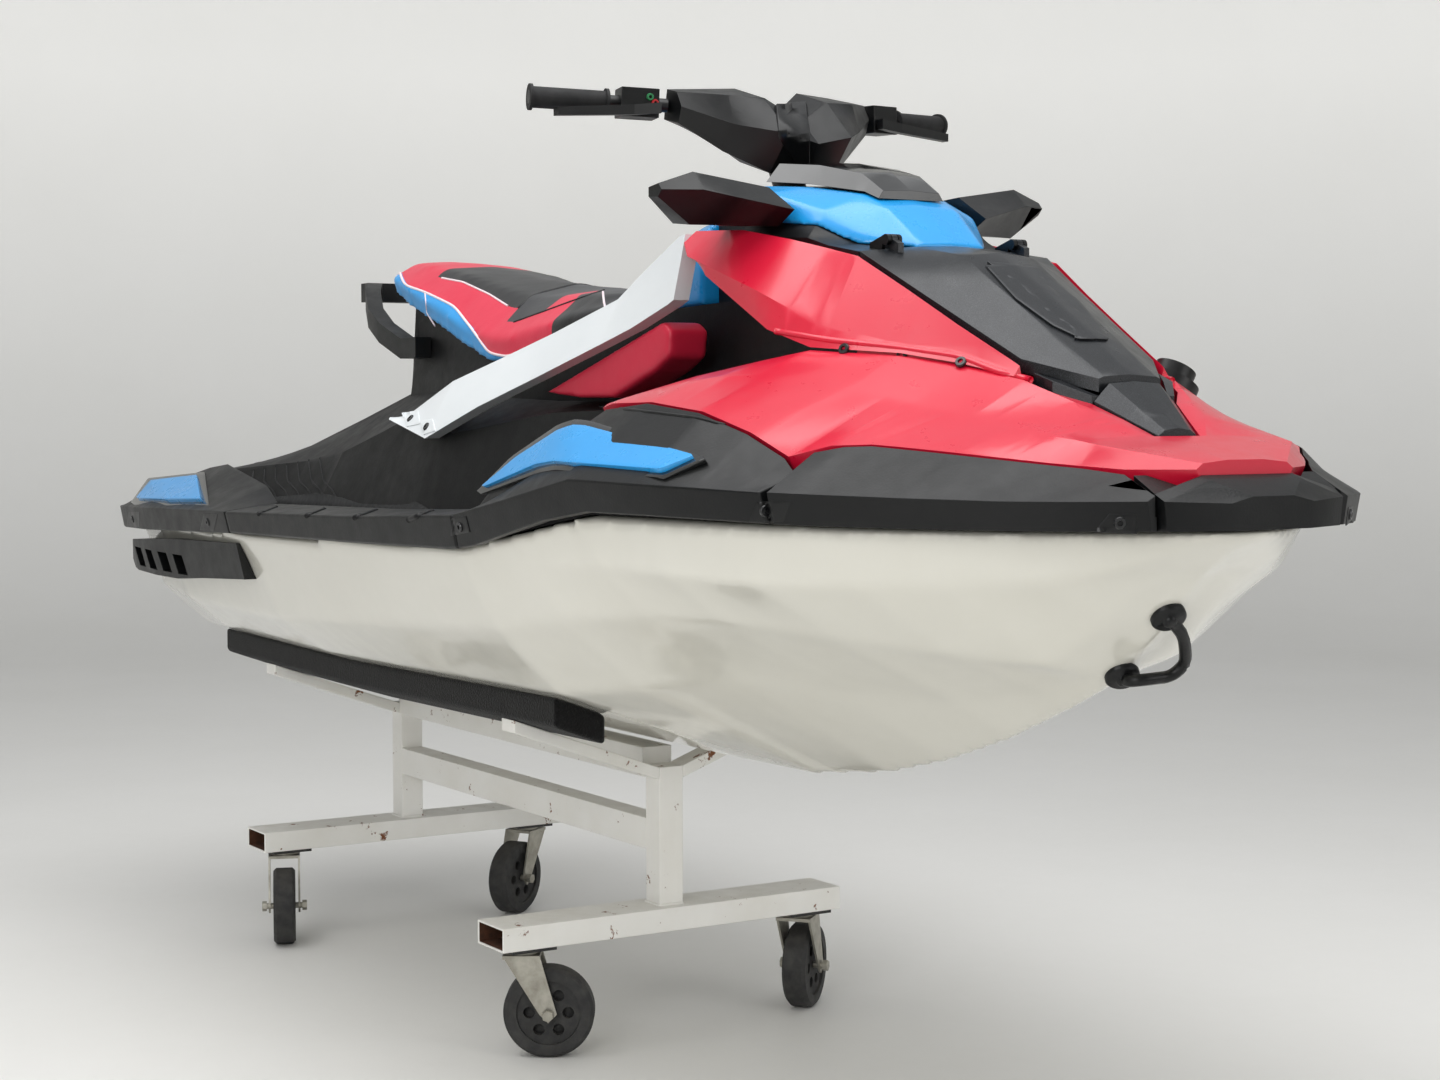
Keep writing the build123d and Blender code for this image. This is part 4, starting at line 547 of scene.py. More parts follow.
# Where each sight line meets a carrier, or, past its edge, as far to the side as its nearest neighbour
def spotsOn(points, carriers):
    found = [meet(px, py, *carriers) for px, py in points]
    known = [i for i, hit in enumerate(found) if hit]
    spots = []
    for i, (px, py) in enumerate(points):
        if found[i]:
            spots.append(found[i][:2])
            continue
        near = found[min(known, key=lambda k: math.dist(points[k], (px, py)))]
        spots.append((atSide(px, py, near[0].y), near[1]))
    return spots


# One mesh from its corners and faces, in its finish and riding on its body
def newPiece(name, verts, faces, finish, body, smooth=True, both=False):
    if both:  # the same again on the other side of the craft
        count = len(verts)
        verts = list(verts) + [Vector((v[0], -v[1], v[2])) for v in verts]
        faces = list(faces) + [tuple(i + count for i in reversed(face)) for face in faces]
    mesh = bpy.data.meshes.new(name)
    mesh.from_pydata([tuple(v) for v in verts], [], faces)
    for face in mesh.polygons:
        face.use_smooth = smooth
    mesh.materials.append(finish)
    mesh.validate()
    piece = bpy.data.objects.new(name, mesh)
    bpy.context.scene.collection.objects.link(piece)
    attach(piece, body)
    return piece


# A point at that share of the way along a line of picture points
def walk(points, share):
    gaps = [math.dist(a, b) for a, b in zip(points, points[1:])]
    want = share * sum(gaps)
    for (a, b), gap in zip(zip(points, points[1:]), gaps):
        if want <= gap or (a, b) == (points[-2], points[-1]):
            t = min(1.0, want / gap) if gap else 0
            return tuple(p + (q - p) * t for p, q in zip(a, b))
        want -= gap


# Faces of a grid whose corners are listed column by column
def gridFaces(columns, rows):
    first = [i * (rows + 1) + j for i in range(columns) for j in range(rows)]
    return [(k, k + rows + 1, k + rows + 2, k + 1) for k in first]


# Thickness and softened edges for a thin sheet
def thicken(piece, thick, edge):
    cornerAngle = 50
    solid = piece.modifiers.new("thickness", "SOLIDIFY")
    solid.thickness = thick / perMetre
    solid.offset = 0
    soft = piece.modifiers.new("softEdge", "BEVEL")
    soft.width = edge / perMetre
    soft.segments = 2
    soft.limit_method = "ANGLE"
    soft.angle_limit = math.radians(cornerAngle)


# A thin panel laid on its carriers between an upper and a lower line of the photograph
def laidPanel(
    name, upper, lower, carriers, finish, body, lift, thick, steps, edge, both=True, outward=None,
    keepFacing=None
):
    weld = 0.0004  # metres
    columns, rows = steps
    ends = [(walk(upper, i / columns), walk(lower, i / columns)) for i in range(columns + 1)]
    points = [
        tuple(p + (q - p) * j / rows for p, q in zip(*pair)) for pair in ends for j in range(rows + 1)
    ]
    if outward:  # each picture point comes with its own distance from the middle
        verts = [atSide(*point) + Vector(outward).normalized() * lift / perMetre for point in points]
    elif keepFacing:
        verts = [
            place + Vector(keepFacing).normalized() * lift / perMetre
            for place, _ in spotsOn(points, carriers)
        ]
    else:
        verts = [place + normal * lift / perMetre for place, normal in spotsOn(points, carriers)]
    piece = newPiece(name, verts, gridFaces(columns, rows), finish, body, both=both)
    bm = bmesh.new()
    bm.from_mesh(piece.data)
    bmesh.ops.remove_doubles(bm, verts=bm.verts, dist=weld)
    bmesh.ops.recalc_face_normals(bm, faces=bm.faces)
    bm.to_mesh(piece.data)
    bm.free()
    thicken(piece, thick, edge)


# Adds a turned shape to the corners and faces given: rows of radius and height about a line
def turned(profile, place, axis, steps, verts, faces):
    sideways = axis.orthogonal().normalized()
    other = axis.cross(sideways)
    start = len(verts)
    for radius, height in profile:
        for k in range(steps):
            a = 2 * math.pi * k / steps
            spoke = sideways * math.cos(a) + other * math.sin(a)
            verts.append(place + axis * height / perMetre + spoke * radius / perMetre)
    for row in range(len(profile) - 1):
        for k in range(steps):
            a, b = start + row * steps + k, start + row * steps + (k + 1) % steps
            faces.append((a, b, b + steps, a + steps))


# Pan screws with a sunk hexagon, seated on their carriers
def screws(name, spots, carriers, finish, body, radius, proud, both=True):
    verts, faces = [], []
    edge, key = radius * 0.86, radius * 0.45
    seated, socket, tip = -1.5, -0.6, 0.05
    for px, py in spots:
        place, normal, _ = meet(px, py, *carriers)
        head = [(radius, seated), (radius, proud * 0.5), (edge, proud), (key, proud)]
        turned(head, place, normal, 24, verts, faces)
        turned([(key, proud), (key, socket), (tip, socket)], place, normal, 6, verts, faces)
    return newPiece(name, verts, faces, finish, body, smooth=False, both=both)


# A round line laid on its carriers on both sides of the craft: piping, a lip, a rib or a trim
def laidLine(name, points, carriers, finish, body, radius, lift=0.0, samples=40):
    spots = spotsOn([walk(points, i / samples) for i in range(samples + 1)], carriers)
    places = [place + normal * lift / perMetre for place, normal in spots]
    return tubeThrough(name, places, finish, body, radius, both=True)


# A round tube through the places, which are evened out twice
def tubeThrough(name, places, finish, body, radius, both):
    for _ in range(2):
        evened = [(a + b * 2 + c) / 4 for a, b, c in zip(places, places[1:], places[2:])]
        places = [places[0]] + evened + [places[-1]]
    verts, faces = [], []
    sides = 8
    for i, place in enumerate(places):
        ahead = (places[min(i + 1, len(places) - 1)] - places[max(i - 1, 0)]).normalized()
        sideways = ahead.cross(Vector((0, 0, 1)))
        sideways = sideways.normalized() if sideways.length > 0.01 else Vector((0, 1, 0))
        over = sideways.cross(ahead)
        for k in range(sides):
            a = 2 * math.pi * k / sides
            verts.append(place + (sideways * math.cos(a) + over * math.sin(a)) * radius / perMetre)
    for i in range(len(places) - 1):
        for k in range(sides):
            a, b = i * sides + k, i * sides + (k + 1) % sides
            faces.append((a, b, b + sides, a + sides))
    faces.append(tuple(range(sides)))
    faces.append(tuple(reversed(range(len(verts) - sides, len(verts)))))
    return newPiece(name, verts, faces, finish, body, both=both)


# Seat: foam under vinyl; the pressure carries nearly every point past the cap, which sets the swelling
seatFacts = {
    "voxel": 8.0, "pressure": 4.0, "quality": 4, "steps": 20, "cap": 6.0, "smoothing": 6, "piping": 2.6,
    "skirtLine": [
        (400, 273), (404, 285), (425, 292), (454, 306), (472, 329), (489, 353), (507, 357), (520, 352)
    ],
    "skirtSeam": [(425, 293), (427, 313), (435, 326)],
    "centreEdge": [(442, 278), (463, 282), (489, 294), (508, 306)],
    "riderEdge": [(514, 322), (545, 311), (575, 300), (604, 290)],
    "noseSeam": [(603, 292), (604, 302), (606, 311)],
}


# The seat's solid meshed evenly, swelled by the cloth step and smoothed on top
def softSeat(facts):
    mesh = nodes["seat"].data.copy()
    piece = bpy.data.objects.new("seat_cushion", mesh)
    bpy.context.scene.collection.objects.link(piece)
    even = piece.modifiers.new("evenMesh", "REMESH")
    even.mode = "VOXEL"
    even.voxel_size = facts["voxel"] / perMetre
    bpy.context.view_layer.update()
    piece.data = bpy.data.meshes.new_from_object(piece.evaluated_get(bpy.context.evaluated_depsgraph_get()))
    piece.modifiers.clear()
    rest = [v.co.copy() for v in piece.data.vertices]
    under = [v.normal.z < -0.5 for v in piece.data.vertices]
    moved = rest
    cloth = piece.modifiers.new("swell", "CLOTH")
    cloth.settings.use_pressure = True
    cloth.settings.uniform_pressure_force = facts["pressure"]
    cloth.settings.effector_weights.gravity = 0
    cloth.settings.quality = facts["quality"]
    cloth.point_cache.frame_end = facts["steps"]
    for step in range(1, facts["steps"] + 1):
        bpy.context.scene.frame_set(step)
    swelled = piece.evaluated_get(bpy.context.evaluated_depsgraph_get()).to_mesh()
    moved = [v.co.copy() for v in swelled.vertices]
    piece.modifiers.clear()
    bpy.context.scene.frame_set(1)
    for vertex, was, now, below in zip(piece.data.vertices, rest, moved, under):
        shift = now - was
        cap = (0.0 if below else facts["cap"]) / perMetre
        if shift.length > cap:
            shift = shift.normalized() * cap
        vertex.co = was + shift
    bm = bmesh.new()
    bm.from_mesh(piece.data)
    top = [v for v in bm.verts if v.normal.z > -0.4]
    for _ in range(facts["smoothing"]):
        bmesh.ops.smooth_vert(bm, verts=top, factor=0.5, use_axis_x=True, use_axis_y=True, use_axis_z=True)
    for face in bm.faces:
        face.smooth = True
    bm.to_mesh(piece.data)
    bm.free()
    return piece


# Value of a line of points at x, level beyond its ends
def levelAt(line, x):
    line = sorted(line)
    if x <= line[0][0]:
        return line[0][1]
    for (x0, y0), (x1, y1) in zip(line, line[1:]):
        if x <= x1:
            return y0 + (y1 - y0) * (x - x0) / max(1e-6, x1 - x0)
    return line[-1][1]


# How far the coloured areas run past their lines, in metres
edges = {"stepBack": 0.03, "rear": 0.02, "nose": 0.01, "outside": -0.02, "skirtSlope": 0.6, "sideways": -0.2}
seat = softSeat(seatFacts)
hits = {}
for key in ("skirtLine", "centreEdge", "riderEdge", "noseSeam"):
    found = [meet(px, py, "seat_cushion", "seat") for px, py in seatFacts[key]]
    hits[key] = [hit[0] for hit in found if hit]
skirtLine = [(p.x, p.z) for p in hits["skirtLine"]]
centreEdge = [(p.x, abs(p.y)) for p in hits["centreEdge"]]
riderEdge = [(p.x, abs(p.y)) for p in hits["riderEdge"]]
stepAt = hits["riderEdge"][0].x - edges["stepBack"]
skirtEnd = hits["skirtLine"][-1].x
noseAt = hits["noseSeam"][0].x
marks = {"skirt": [], "centre": [], "rider": [], "nose": []}
for vertex in seat.data.vertices:
    x, y, z = vertex.co
    marks["skirt"].append(min(levelAt(skirtLine, x) - z, (skirtEnd - x) * edges["skirtSlope"]))
    inCentre = min(levelAt(centreEdge, x) - abs(y), stepAt - x, x - centreEdge[0][0] + edges["rear"])
    marks["centre"].append(inCentre if vertex.normal.z > 0 else edges["outside"])
    inRider = min(levelAt(riderEdge, x) - abs(y), x - stepAt, noseAt + edges["nose"] - x)
    marks["rider"].append(inRider if vertex.normal.z > edges["sideways"] else edges["outside"])
    marks["nose"].append(x - noseAt)
for key, values in marks.items():
    layer = seat.data.attributes.new(key, "FLOAT", "POINT")
    layer.data.foreach_set("value", values)

# Marine vinyl, red with four marked areas in other colours: pebbled grain, soft sheen and slight folds
vinyl = bpy.data.materials.new("marineVinyl")
vinyl.use_nodes = True
tree = vinyl.node_tree
tree.nodes.clear()
place = addNode(tree, "ShaderNodeTexCoord").outputs["Object"]
patches = addNode(tree, "ShaderNodeTexNoise", {"Scale": 9.0, "Detail": 3.0}, {"Vector": place})
colour = addNode(
    tree, "ShaderNodeMix", {"data_type": "RGBA", 6: toLinear("#DE2547"), 7: toLinear("#CC1A3B")},
    {0: patches.outputs["Fac"]}
).outputs[2]
vinylShades = {"centre": "#0D0D0E", "rider": "#27282B", "nose": "#0A0A0B", "skirt": "#2299E0"}
for key, shade in vinylShades.items():
    level = addNode(tree, "ShaderNodeAttribute", {"attribute_name": key}).outputs["Fac"]
    inside = addNode(tree, "ShaderNodeMath", {"operation": "GREATER_THAN", 1: 0.0}, {0: level}).outputs[0]
    colour = tinted(tree, colour, shade, inside)
pebbleSize = 3.0  # real pebbles are about 1 mm, these are larger so that they show
grain = addNode(
    tree, "ShaderNodeTexVoronoi", {"feature": "SMOOTH_F1", "Scale": perMetre / pebbleSize},
    {"Vector": place}
)
folds = addNode(
    tree, "ShaderNodeTexNoise", {"Scale": 14.0, "Detail": 4.0, "Roughness": 0.55}, {"Vector": place}
)
pebble = addNode(
    tree, "ShaderNodeBump", {"Strength": 0.35, "Distance": 0.0003}, {"Height": grain.outputs["Distance"]}
)
wave = addNode(
    tree, "ShaderNodeBump", {"Strength": 0.35, "Distance": 0.004},
    {"Height": folds.outputs["Fac"], "Normal": pebble.outputs["Normal"]}
)
rough = addNode(
    tree, "ShaderNodeMapRange", {"To Min": 0.36, "To Max": 0.56}, {"Value": patches.outputs["Fac"]}
)
shader = addNode(
    tree, "ShaderNodeBsdfPrincipled", {"IOR": 1.5, "Sheen Weight": 0.15, "Specular IOR Level": 0.45},
    {"Base Color": colour, "Roughness": rough.outputs["Result"], "Normal": wave.outputs["Normal"]}
)
addNode(tree, "ShaderNodeOutputMaterial", {}, {"Surface": shader.outputs[0]})
seat.data.materials.clear()
seat.data.materials.append(vinyl)
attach(seat, craft)
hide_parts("seat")

# Coated cord along the seams: pale round the red, black at the step
pipingPale = makeFinish("pipingCordPale", {
    "colour": "#F3E4E8", "patchColour": "#E8D4DB", "patch": 30, "rough": (0.4, 0.5), "grain": 1.5,
    "bump": 0.3, "depth": 0.2, "ior": 1.5,
})
pipingBlack = makeFinish("pipingCordBlack", {
    "colour": "#151516", "patchColour": "#1E1E20", "patch": 30, "rough": (0.35, 0.5), "grain": 1.5,
    "bump": 0.3, "depth": 0.2, "ior": 1.5,
})
pipings = {
    "skirtLine": (pipingPale, seatFacts["piping"]), "skirtSeam": (pipingPale, 1.6),
    "centreEdge": (pipingPale, 2.0), "riderEdge": (pipingBlack, 2.0), "noseSeam": (pipingPale, 2.2),
}
for key, (finish, radius) in pipings.items():
    laidLine("seat_piping_" + key, seatFacts[key], ["seat_cushion"], finish, craft, radius)

# Piping over the step, found from above, and across the rear, found from behind, in metres
acrossSeat = {"above": 3, "behind": -3, "under": 0.004, "reach": 0.98, "archSteps": 12, "rearSteps": 10}
arch = []
for i in range(2 * acrossSeat["archSteps"] + 1):
    y = (i / acrossSeat["archSteps"] - 1) * levelAt(centreEdge, stepAt)
    down = trees["seat_cushion"].ray_cast(Vector((stepAt, y, acrossSeat["above"])), Vector((0, 0, -1)))
    if down[0] is not None:
        arch.append(down[0])
tubeThrough("seat_piping_step", arch, pipingBlack, craft, seatFacts["piping"], both=False)
rear = []
level = skirtLine[0][1] - acrossSeat["under"]
for i in range(2 * acrossSeat["rearSteps"] + 1):
    y = (i / acrossSeat["rearSteps"] - 1) * abs(hits["skirtLine"][0].y) * acrossSeat["reach"]
    back = trees["seat_cushion"].ray_cast(Vector((acrossSeat["behind"], y, level)), Vector((1, 0, 0)))
    if back[0] is not None:
        rear.append(back[0])
tubeThrough("seat_piping_rear", rear, pipingPale, craft, seatFacts["piping"], both=False)
print("seat sewn")


# Blue infills in dark frames, and the wing's black limb: picture points with a side distance in metres
slopes = {"wing": (0.12, -0.72, 0.68), "rear": (-0.08, -0.65, 0.76)}
infills = {
    "wing_limb": {
        "upper": [(474, 512, -0.53), (506, 468, -0.5), (563, 425, -0.475), (600, 422, -0.47)],
        "lower": [(478, 524, -0.54), (522, 500, -0.535), (562, 489, -0.538), (600, 485, -0.542)],
        "finish": blackMoulded, "lift": -14, "thick": 26,
    },
    "wing_infill_frame": {
        "upper": [
            (480, 493, -0.508), (514, 459, -0.495), (561, 427, -0.482),
            (578, 422, -0.475), (594, 424, -0.472), (706, 460, -0.488),
        ],
        "lower": [
            (484, 496, -0.512), (541, 475, -0.523), (558, 472, -0.532),
            (575, 474, -0.54), (664, 481, -0.528), (707, 462, -0.49),
        ],
        "finish": glossBlack, "lift": 2.5, "thick": 8,
    },
    "wing_infill": {
        "upper": [
            (487, 490, -0.507), (520, 462, -0.495), (562, 435, -0.484),
            (577, 430, -0.479), (590, 431, -0.477), (696, 460, -0.49),
        ],
        "lower": [
            (489, 491, -0.51), (540, 469, -0.519), (558, 466, -0.527),
            (575, 468, -0.535), (664, 475, -0.523), (697, 462, -0.492),
        ],
        "finish": bluePaint, "lift": 7, "thick": 10,
    },
    "rear_infill_frame": {
        "upper": [(133, 504, -0.472), (150, 480, -0.447), (206, 474, -0.44)],
        "lower": [(136, 507, -0.49), (170, 508, -0.521), (211, 508, -0.527)],
        "finish": glossBlack, "lift": 2.5, "thick": 8,
    },
    "rear_infill": {
        "upper": [(140, 501, -0.476), (154, 484, -0.452), (200, 479, -0.448)],
        "lower": [(141, 502, -0.485), (170, 503, -0.515), (204, 503, -0.521)],
        "finish": bluePaint, "lift": 7, "thick": 10,
    },
}
for name, facts in infills.items():
    laidPanel(
        name, facts["upper"], facts["lower"], [], facts["finish"], craft, lift=facts["lift"],
        thick=facts["thick"], steps=(40, 8), edge=2.0, outward=slopes[name.split("_")[0]]
    )

# Raised plate with the outline of the air scoop on the hood
scoopPlate = {
    "outer": [(985, 267), (1015, 300), (1052, 327), (1080, 340), (1106, 341)],
    "inner": [(1030, 265), (1052, 290), (1080, 315), (1092, 330), (1108, 340)],
}
laidPanel(
    "hood_scoop_plate", scoopPlate["outer"], scoopPlate["inner"], ["hood"], greyMica, "hood",
    lift=1.6, thick=3.4, steps=(40, 10), edge=1.5
)

# Screws in their pockets along the bumper ring
ring = ["rear_bumpers", "sills", "side_wings", "front_bumpers", "bow_bumper", "deck"]
pockets = {
    "rear_end": [(127, 526), (129, 512), (140, 512), (140, 527)],
    "rear_corner": [(200, 530), (204, 514), (218, 514), (214, 531)],
    "sill_end": [(451, 536), (452, 518), (466, 516), (470, 532)],
    "wing_end": [(749, 522), (757, 502), (792, 500), (784, 522)],
    "bow_end": [(1094, 532), (1109, 514), (1137, 514), (1137, 534)],
}
ringScrews = [(133, 519), (208, 522), (460, 527), (765, 511), (1120, 523)]
for name, (a, b, c, d) in pockets.items():
    laidPanel(
        "pocket_" + name, [b, c], [a, d], ring, podBlack, craft,
        lift=-0.2, thick=1.6, steps=(12, 6), edge=0.5
    )
screws("bumper_screws", ringScrews, ring, eyeSteel, craft, radius=8.0, proud=3.0)

# Three screws of the fairing, the rolled lip under the cowl, and the trim along the fairing's edge
fairing = {
    "screws": [(844, 349), (902, 355), (961, 362)],
    "lip": [(775, 331), (830, 340), (900, 347), (960, 356), (1000, 372), (1030, 380)],
    "trim": [(600, 406), (700, 418), (758, 434), (788, 455)],
    "panels": ["lower_cowl", "side_fairings"],
    "below": ["side_fairings", "side_wings", "deck"],
}
screws("fairing_screws", fairing["screws"], fairing["panels"], eyeSteel, craft, radius=8.5, proud=3.0)
laidLine("cowl_lip", fairing["lip"], fairing["panels"], redGelcoat, craft, radius=5.0, lift=-2.0)
laidLine("fairing_edge_trim", fairing["trim"], fairing["below"], blackMoulded, craft, radius=3.0, lift=-1.0)

# Bolts through the foot of each white beam, in slanted slots
beamFoot = {
    "slots": [
        [(402, 413), (418, 411), (421, 424), (407, 427)],
        [(420, 421), (433, 419), (436, 431), (424, 435)],
    ],
    "bolts": [(411, 419), (427, 427)],
}
for k, (a, b, c, d) in enumerate(beamFoot["slots"]):
    laidPanel(
        "beam_slot_" + str(k), [a, b], [d, c], ["side_beams"], whiteBeam, craft,
        lift=0.6, thick=1.6, steps=(8, 6), edge=0.7
    )
screws("beam_bolts", beamFoot["bolts"], ["side_beams"], eyeSteel, craft, radius=8.0, proud=4.0)

# Ribs moulded across the sill, and the grip lines in the side of the footwell
ribs = [
    [(258, 514), (276, 507)], [(306, 516), (324, 509)],
    [(354, 518), (376, 510)], [(408, 520), (432, 511)],
]
for k, line in enumerate(ribs):
    laidLine(
        "sill_rib_" + str(k), line, ["sills", "deck"], blackMoulded, craft,
        radius=5.0, lift=-1.5, samples=10
    )
# The first grip line, and how far each later one lies from the one before
gripLines = {
    "count": 7, "first": [(254, 470), (252, 482), (262, 492), (266, 503)],
    "step": [(11, -2), (12, 0), (12, 0), (12, 0)],
}
for k in range(gripLines["count"]):
    line = [(x + dx * k, y + dy * k) for (x, y), (dx, dy) in zip(gripLines["first"], gripLines["step"])]
    laidLine("mat_line_" + str(k), line, ["deck"], blackMoulded, craft, radius=1.8, samples=20)

# Strip down the middle of the pod, and coloured keys on the switch blocks
pod = {
    "stripLeft": [(775, 106), (779, 140), (796, 168)],
    "stripRight": [(806, 104), (809, 138), (809, 166)],
    "facing": (0.7, -0.2, 0.6),
    "startKey": [(650, 97)],
    "stopKey": [(655, 103)],
    "keyCarriers": ["switch_blocks", "handlebar_pod"],
}
laidPanel(
    "pod_strip", pod["stripLeft"], pod["stripRight"], ["handlebar_pod"], podBlack, "handlebar",
    lift=2.5, thick=7, steps=(10, 4), edge=1.5, both=False, keepFacing=pod["facing"]
)
# Dyed plastic keys, green to start and red to stop: small satin spots of colour
greenKey = makeFinish("keyGreen", {
    "colour": "#2C7A4A", "patchColour": "#256B40", "patch": 12, "rough": (0.35, 0.45), "grain": 2,
    "bump": 0.15, "depth": 0.1, "ior": 1.5,
})
redKey = makeFinish("keyRed", {
    "colour": "#B3262C", "patchColour": "#9C2026", "patch": 12, "rough": (0.35, 0.45), "grain": 2,
    "bump": 0.15, "depth": 0.1, "ior": 1.5,
})
for name, spots, finish in (("start_key", pod["startKey"], greenKey), ("stop_key", pod["stopKey"], redKey)):
    screws(name, spots, pod["keyCarriers"], finish, "handlebar", radius=6.0, proud=4.0, both=False)

# Tow eye: a rounded rod bowed out from two bolted pads
eyeFacts = {
    "line": [(1168, 616), (1175, 625), (1172, 641), (1157, 652), (1138, 660), (1126, 668), (1122, 676)],
    "steps": 24, "rise": 5, "bow": 34.0, "fullness": 0.6, "rod": 8.5,
    "pads": [(1168, 616), (1122, 675)], "padSteps": 28,
    "padProfile": [(24, -3), (24, 5), (21, 8), (9, 9), (9, 13), (6, 15), (0.1, 15)],
}
towPlaces = []
for k in range(eyeFacts["steps"] + 1):
    share = k / eyeFacts["steps"]
    place, normal, _ = meet(*walk(eyeFacts["line"], share), "hull")
    away = eyeFacts["rise"] + eyeFacts["bow"] * math.sin(math.pi * share) ** eyeFacts["fullness"]
    towPlaces.append(place + normal * away / perMetre)
towLoop = tubeThrough("tow_eye_rod", towPlaces, blackMoulded, craft, eyeFacts["rod"], both=False)
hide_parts("tow_eye")
verts, faces = [], []
for px, py in eyeFacts["pads"]:
    place, normal, _ = meet(px, py, "hull")
    turned(eyeFacts["padProfile"], place, normal, eyeFacts["padSteps"], verts, faces)
newPiece("tow_eye_pads", verts, faces, blackMoulded, craft)


# Middle of a wheel, and the level direction in which it is thinnest
def hubAndAxle(wheel):
    points = [wheel.matrix_world @ v.co for v in wheel.data.vertices]
    hub = sum(points, Vector()) / len(points)
    angles = [math.radians(k) for k in range(0, 180, 2)]
    level = [Vector((math.sin(a), -math.cos(a), 0)) for a in angles]
    return hub, min(level, key=lambda d: max(abs((p - hub).dot(d)) for p in points))


# Casters: a hexagon head on each end of the axles, against the cheeks of the fork
hexHead = [(10.5, -2), (10.5, 6.5), (9.5, 7.5), (0.1, 7.5)]
# The ray that finds a cheek: how far out it starts and how far above the axle, in metres
axleRay = {"out": 0.2, "up": 0.004}
for name in [n for n in nodes if n.startswith("caster_fork")]:
    corner = name.replace("caster_fork_", "")
    fork = BVHTree.FromObject(nodes[name], bpy.context.evaluated_depsgraph_get())
    hub, axle = hubAndAxle(nodes["caster_core_" + corner])
    verts, faces = [], []
    for sense in (1, -1):
        side = axle * sense
        found = fork.ray_cast(hub + side * axleRay["out"] + Vector((0, 0, axleRay["up"])), -side)
        if found[0] is not None:
            turned(hexHead, hub + side * ((found[0] - hub).dot(side)), side, 6, verts, faces)
    newPiece("axle_bolts_" + corner, verts, faces, zinc, "caster_swivel_" + corner, smooth=False)

# Webs that close the lightening holes of the worn wheels from the inside
webProfile = [(14, -5), (52, -5), (52, 5), (14, 5), (14, -5)]
for name in [n for n in nodes if n.startswith("caster_core")]:
    corner = name.replace("caster_core_", "")
    hub, axle = hubAndAxle(nodes[name])
    verts, faces = [], []
    turned(webProfile, hub, axle, 40, verts, faces)
    newPiece("wheel_web_" + corner, verts, faces, tyreRubber, "caster_wheel_" + corner)


# Rust inside the open ends of the cross-members, and weld beads round the foot of each post
memberFacts = {
    "front": 66.8, "rear": -1024.3, "reach": 346.65, "deep": 60.0, "wide": 88.0, "tall": 33.0, "top": 235.4,
    "mouth": 1.5, "sunk": 21.0, "steps": 12, "wave": 0.7, "pace": 2.1, "post": 48.7, "bead": 3.4,
}
# Scaled rust: dead matt brown
rustScale = makeFinish("rustScale", {
    "colour": "#5A3520", "patchColour": "#3A2418", "patch": 16, "patchShare": 0.9, "rough": (0.8, 0.95),
    "grain": 2.4, "bump": 0.9, "depth": 0.8, "ior": 1.5,
})
verts, faces = [], []
for middle in (memberFacts["front"], memberFacts["rear"]):
    for side in (-1, 1):
        rings = []
        height = memberFacts["top"] - memberFacts["sunk"]
        for depth in (memberFacts["mouth"], memberFacts["deep"]):
            y = side * (memberFacts["reach"] - depth)
            start = len(verts)
            for sx, sz in ((-1, -1), (1, -1), (1, 1), (-1, 1)):
                x = middle + sx * memberFacts["wide"] / 2
                z = height + sz * memberFacts["tall"] / 2
                verts.append(Vector((x, y, z)) / perMetre)
            rings.append(start)
        for k in range(4):
            faces.append((rings[0] + k, rings[0] + (k + 1) % 4, rings[1] + (k + 1) % 4, rings[1] + k))
        faces.append(tuple(rings[1] + k for k in range(4)))
newPiece("tube_end_rust", verts, faces, rustScale, craft, smooth=False)
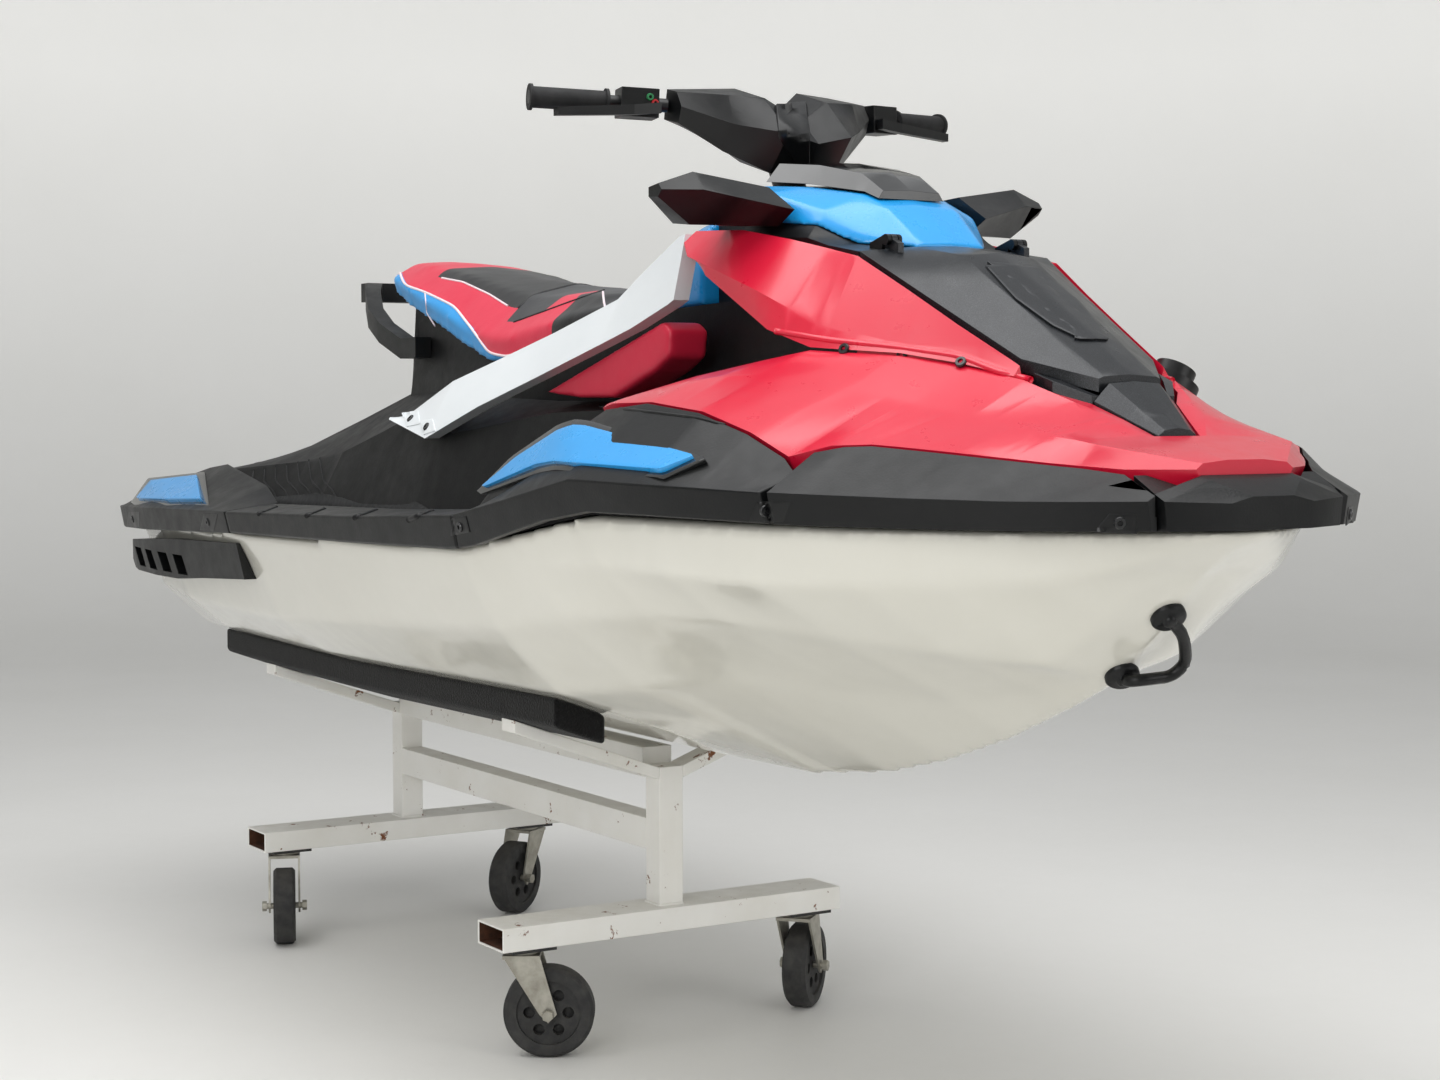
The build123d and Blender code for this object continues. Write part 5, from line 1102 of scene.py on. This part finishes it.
for name, middle in (("front", memberFacts["front"]), ("rear", memberFacts["rear"])):
    half = memberFacts["post"] / 2
    corners = [(-half, -half), (half, -half), (half, half), (-half, half), (-half, -half)]
    bead = []
    for (x0, y0), (x1, y1) in zip(corners, corners[1:]):
        for k in range(memberFacts["steps"]):
            wobble = memberFacts["wave"] * math.sin(memberFacts["pace"] * k)
            x = middle + x0 + (x1 - x0) * k / memberFacts["steps"]
            y = y0 + (y1 - y0) * k / memberFacts["steps"]
            bead.append(Vector((x, y, memberFacts["top"] + wobble)) / perMetre)
    bead.append(bead[0].copy())
    tubeThrough("weld_bead_" + name, bead, dollyPaint, craft, memberFacts["bead"], both=False)


# Mats: lift, thickness and edge in millimetres, and the height that the rays start from in metres
matFacts = {"lift": 1.5, "thick": 4.0, "edge": 1.5, "above": 2.5}


# A mat seated from above on the deck, on both sides, between two lines drawn in plan, in metres
def laidMat(name, inner, outer, finish, steps):
    mesh = nodes["deck"].data
    deck = BVHTree.FromPolygons([v.co[:] for v in mesh.vertices], [p.vertices[:] for p in mesh.polygons])
    lift = matFacts["lift"] / perMetre
    verts = []
    columns, rows = steps
    for i in range(columns + 1):
        a, b = walk(inner, i / columns), walk(outer, i / columns)
        for j in range(rows + 1):
            x, y = a[0] + (b[0] - a[0]) * j / rows, a[1] + (b[1] - a[1]) * j / rows
            top = deck.ray_cast(Vector((x, y, matFacts["above"])), Vector((0, 0, -1)))[0]
            verts.append(Vector((x, y, (top.z if top is not None else verts[-1].z - lift) + lift)))
    piece = newPiece(name, verts, gridFaces(columns, rows), finish, craft, both=True)
    thicken(piece, matFacts["thick"], matFacts["edge"])


# Foam mats in the footwells and on the boarding platform: dull, with crossing grooves
matFoam = makeFinish("matFoamBlack", {
    "colour": "#161718", "patchColour": "#1E1F20", "patch": 60, "rough": (0.7, 0.85), "grain": 3.0,
    "weave": 14, "bump": 0.8, "depth": 1.5, "dust": 0.12, "dustColour": "#6F6C66", "ior": 1.5
})
mats = {
    "footwell_mats": {
        "inner": [(-1.02, 0.37), (-0.7, 0.33), (-0.3, 0.33), (0.3, 0.3), (0.5, 0.3)],
        "outer": [(-1.02, 0.46), (-0.7, 0.475), (-0.3, 0.48), (0.3, 0.48), (0.5, 0.47)],
        "steps": (60, 12),
    },
    "platform_mat": {
        "inner": [(-1.49, 0.0), (-1.36, 0.0), (-1.2, 0.0)],
        "outer": [(-1.49, 0.27), (-1.36, 0.29), (-1.2, 0.27)],
        "steps": (24, 24),
    },
}
for name, facts in mats.items():
    laidMat(name, facts["inner"], facts["outer"], matFoam, facts["steps"])
print("trim laid")
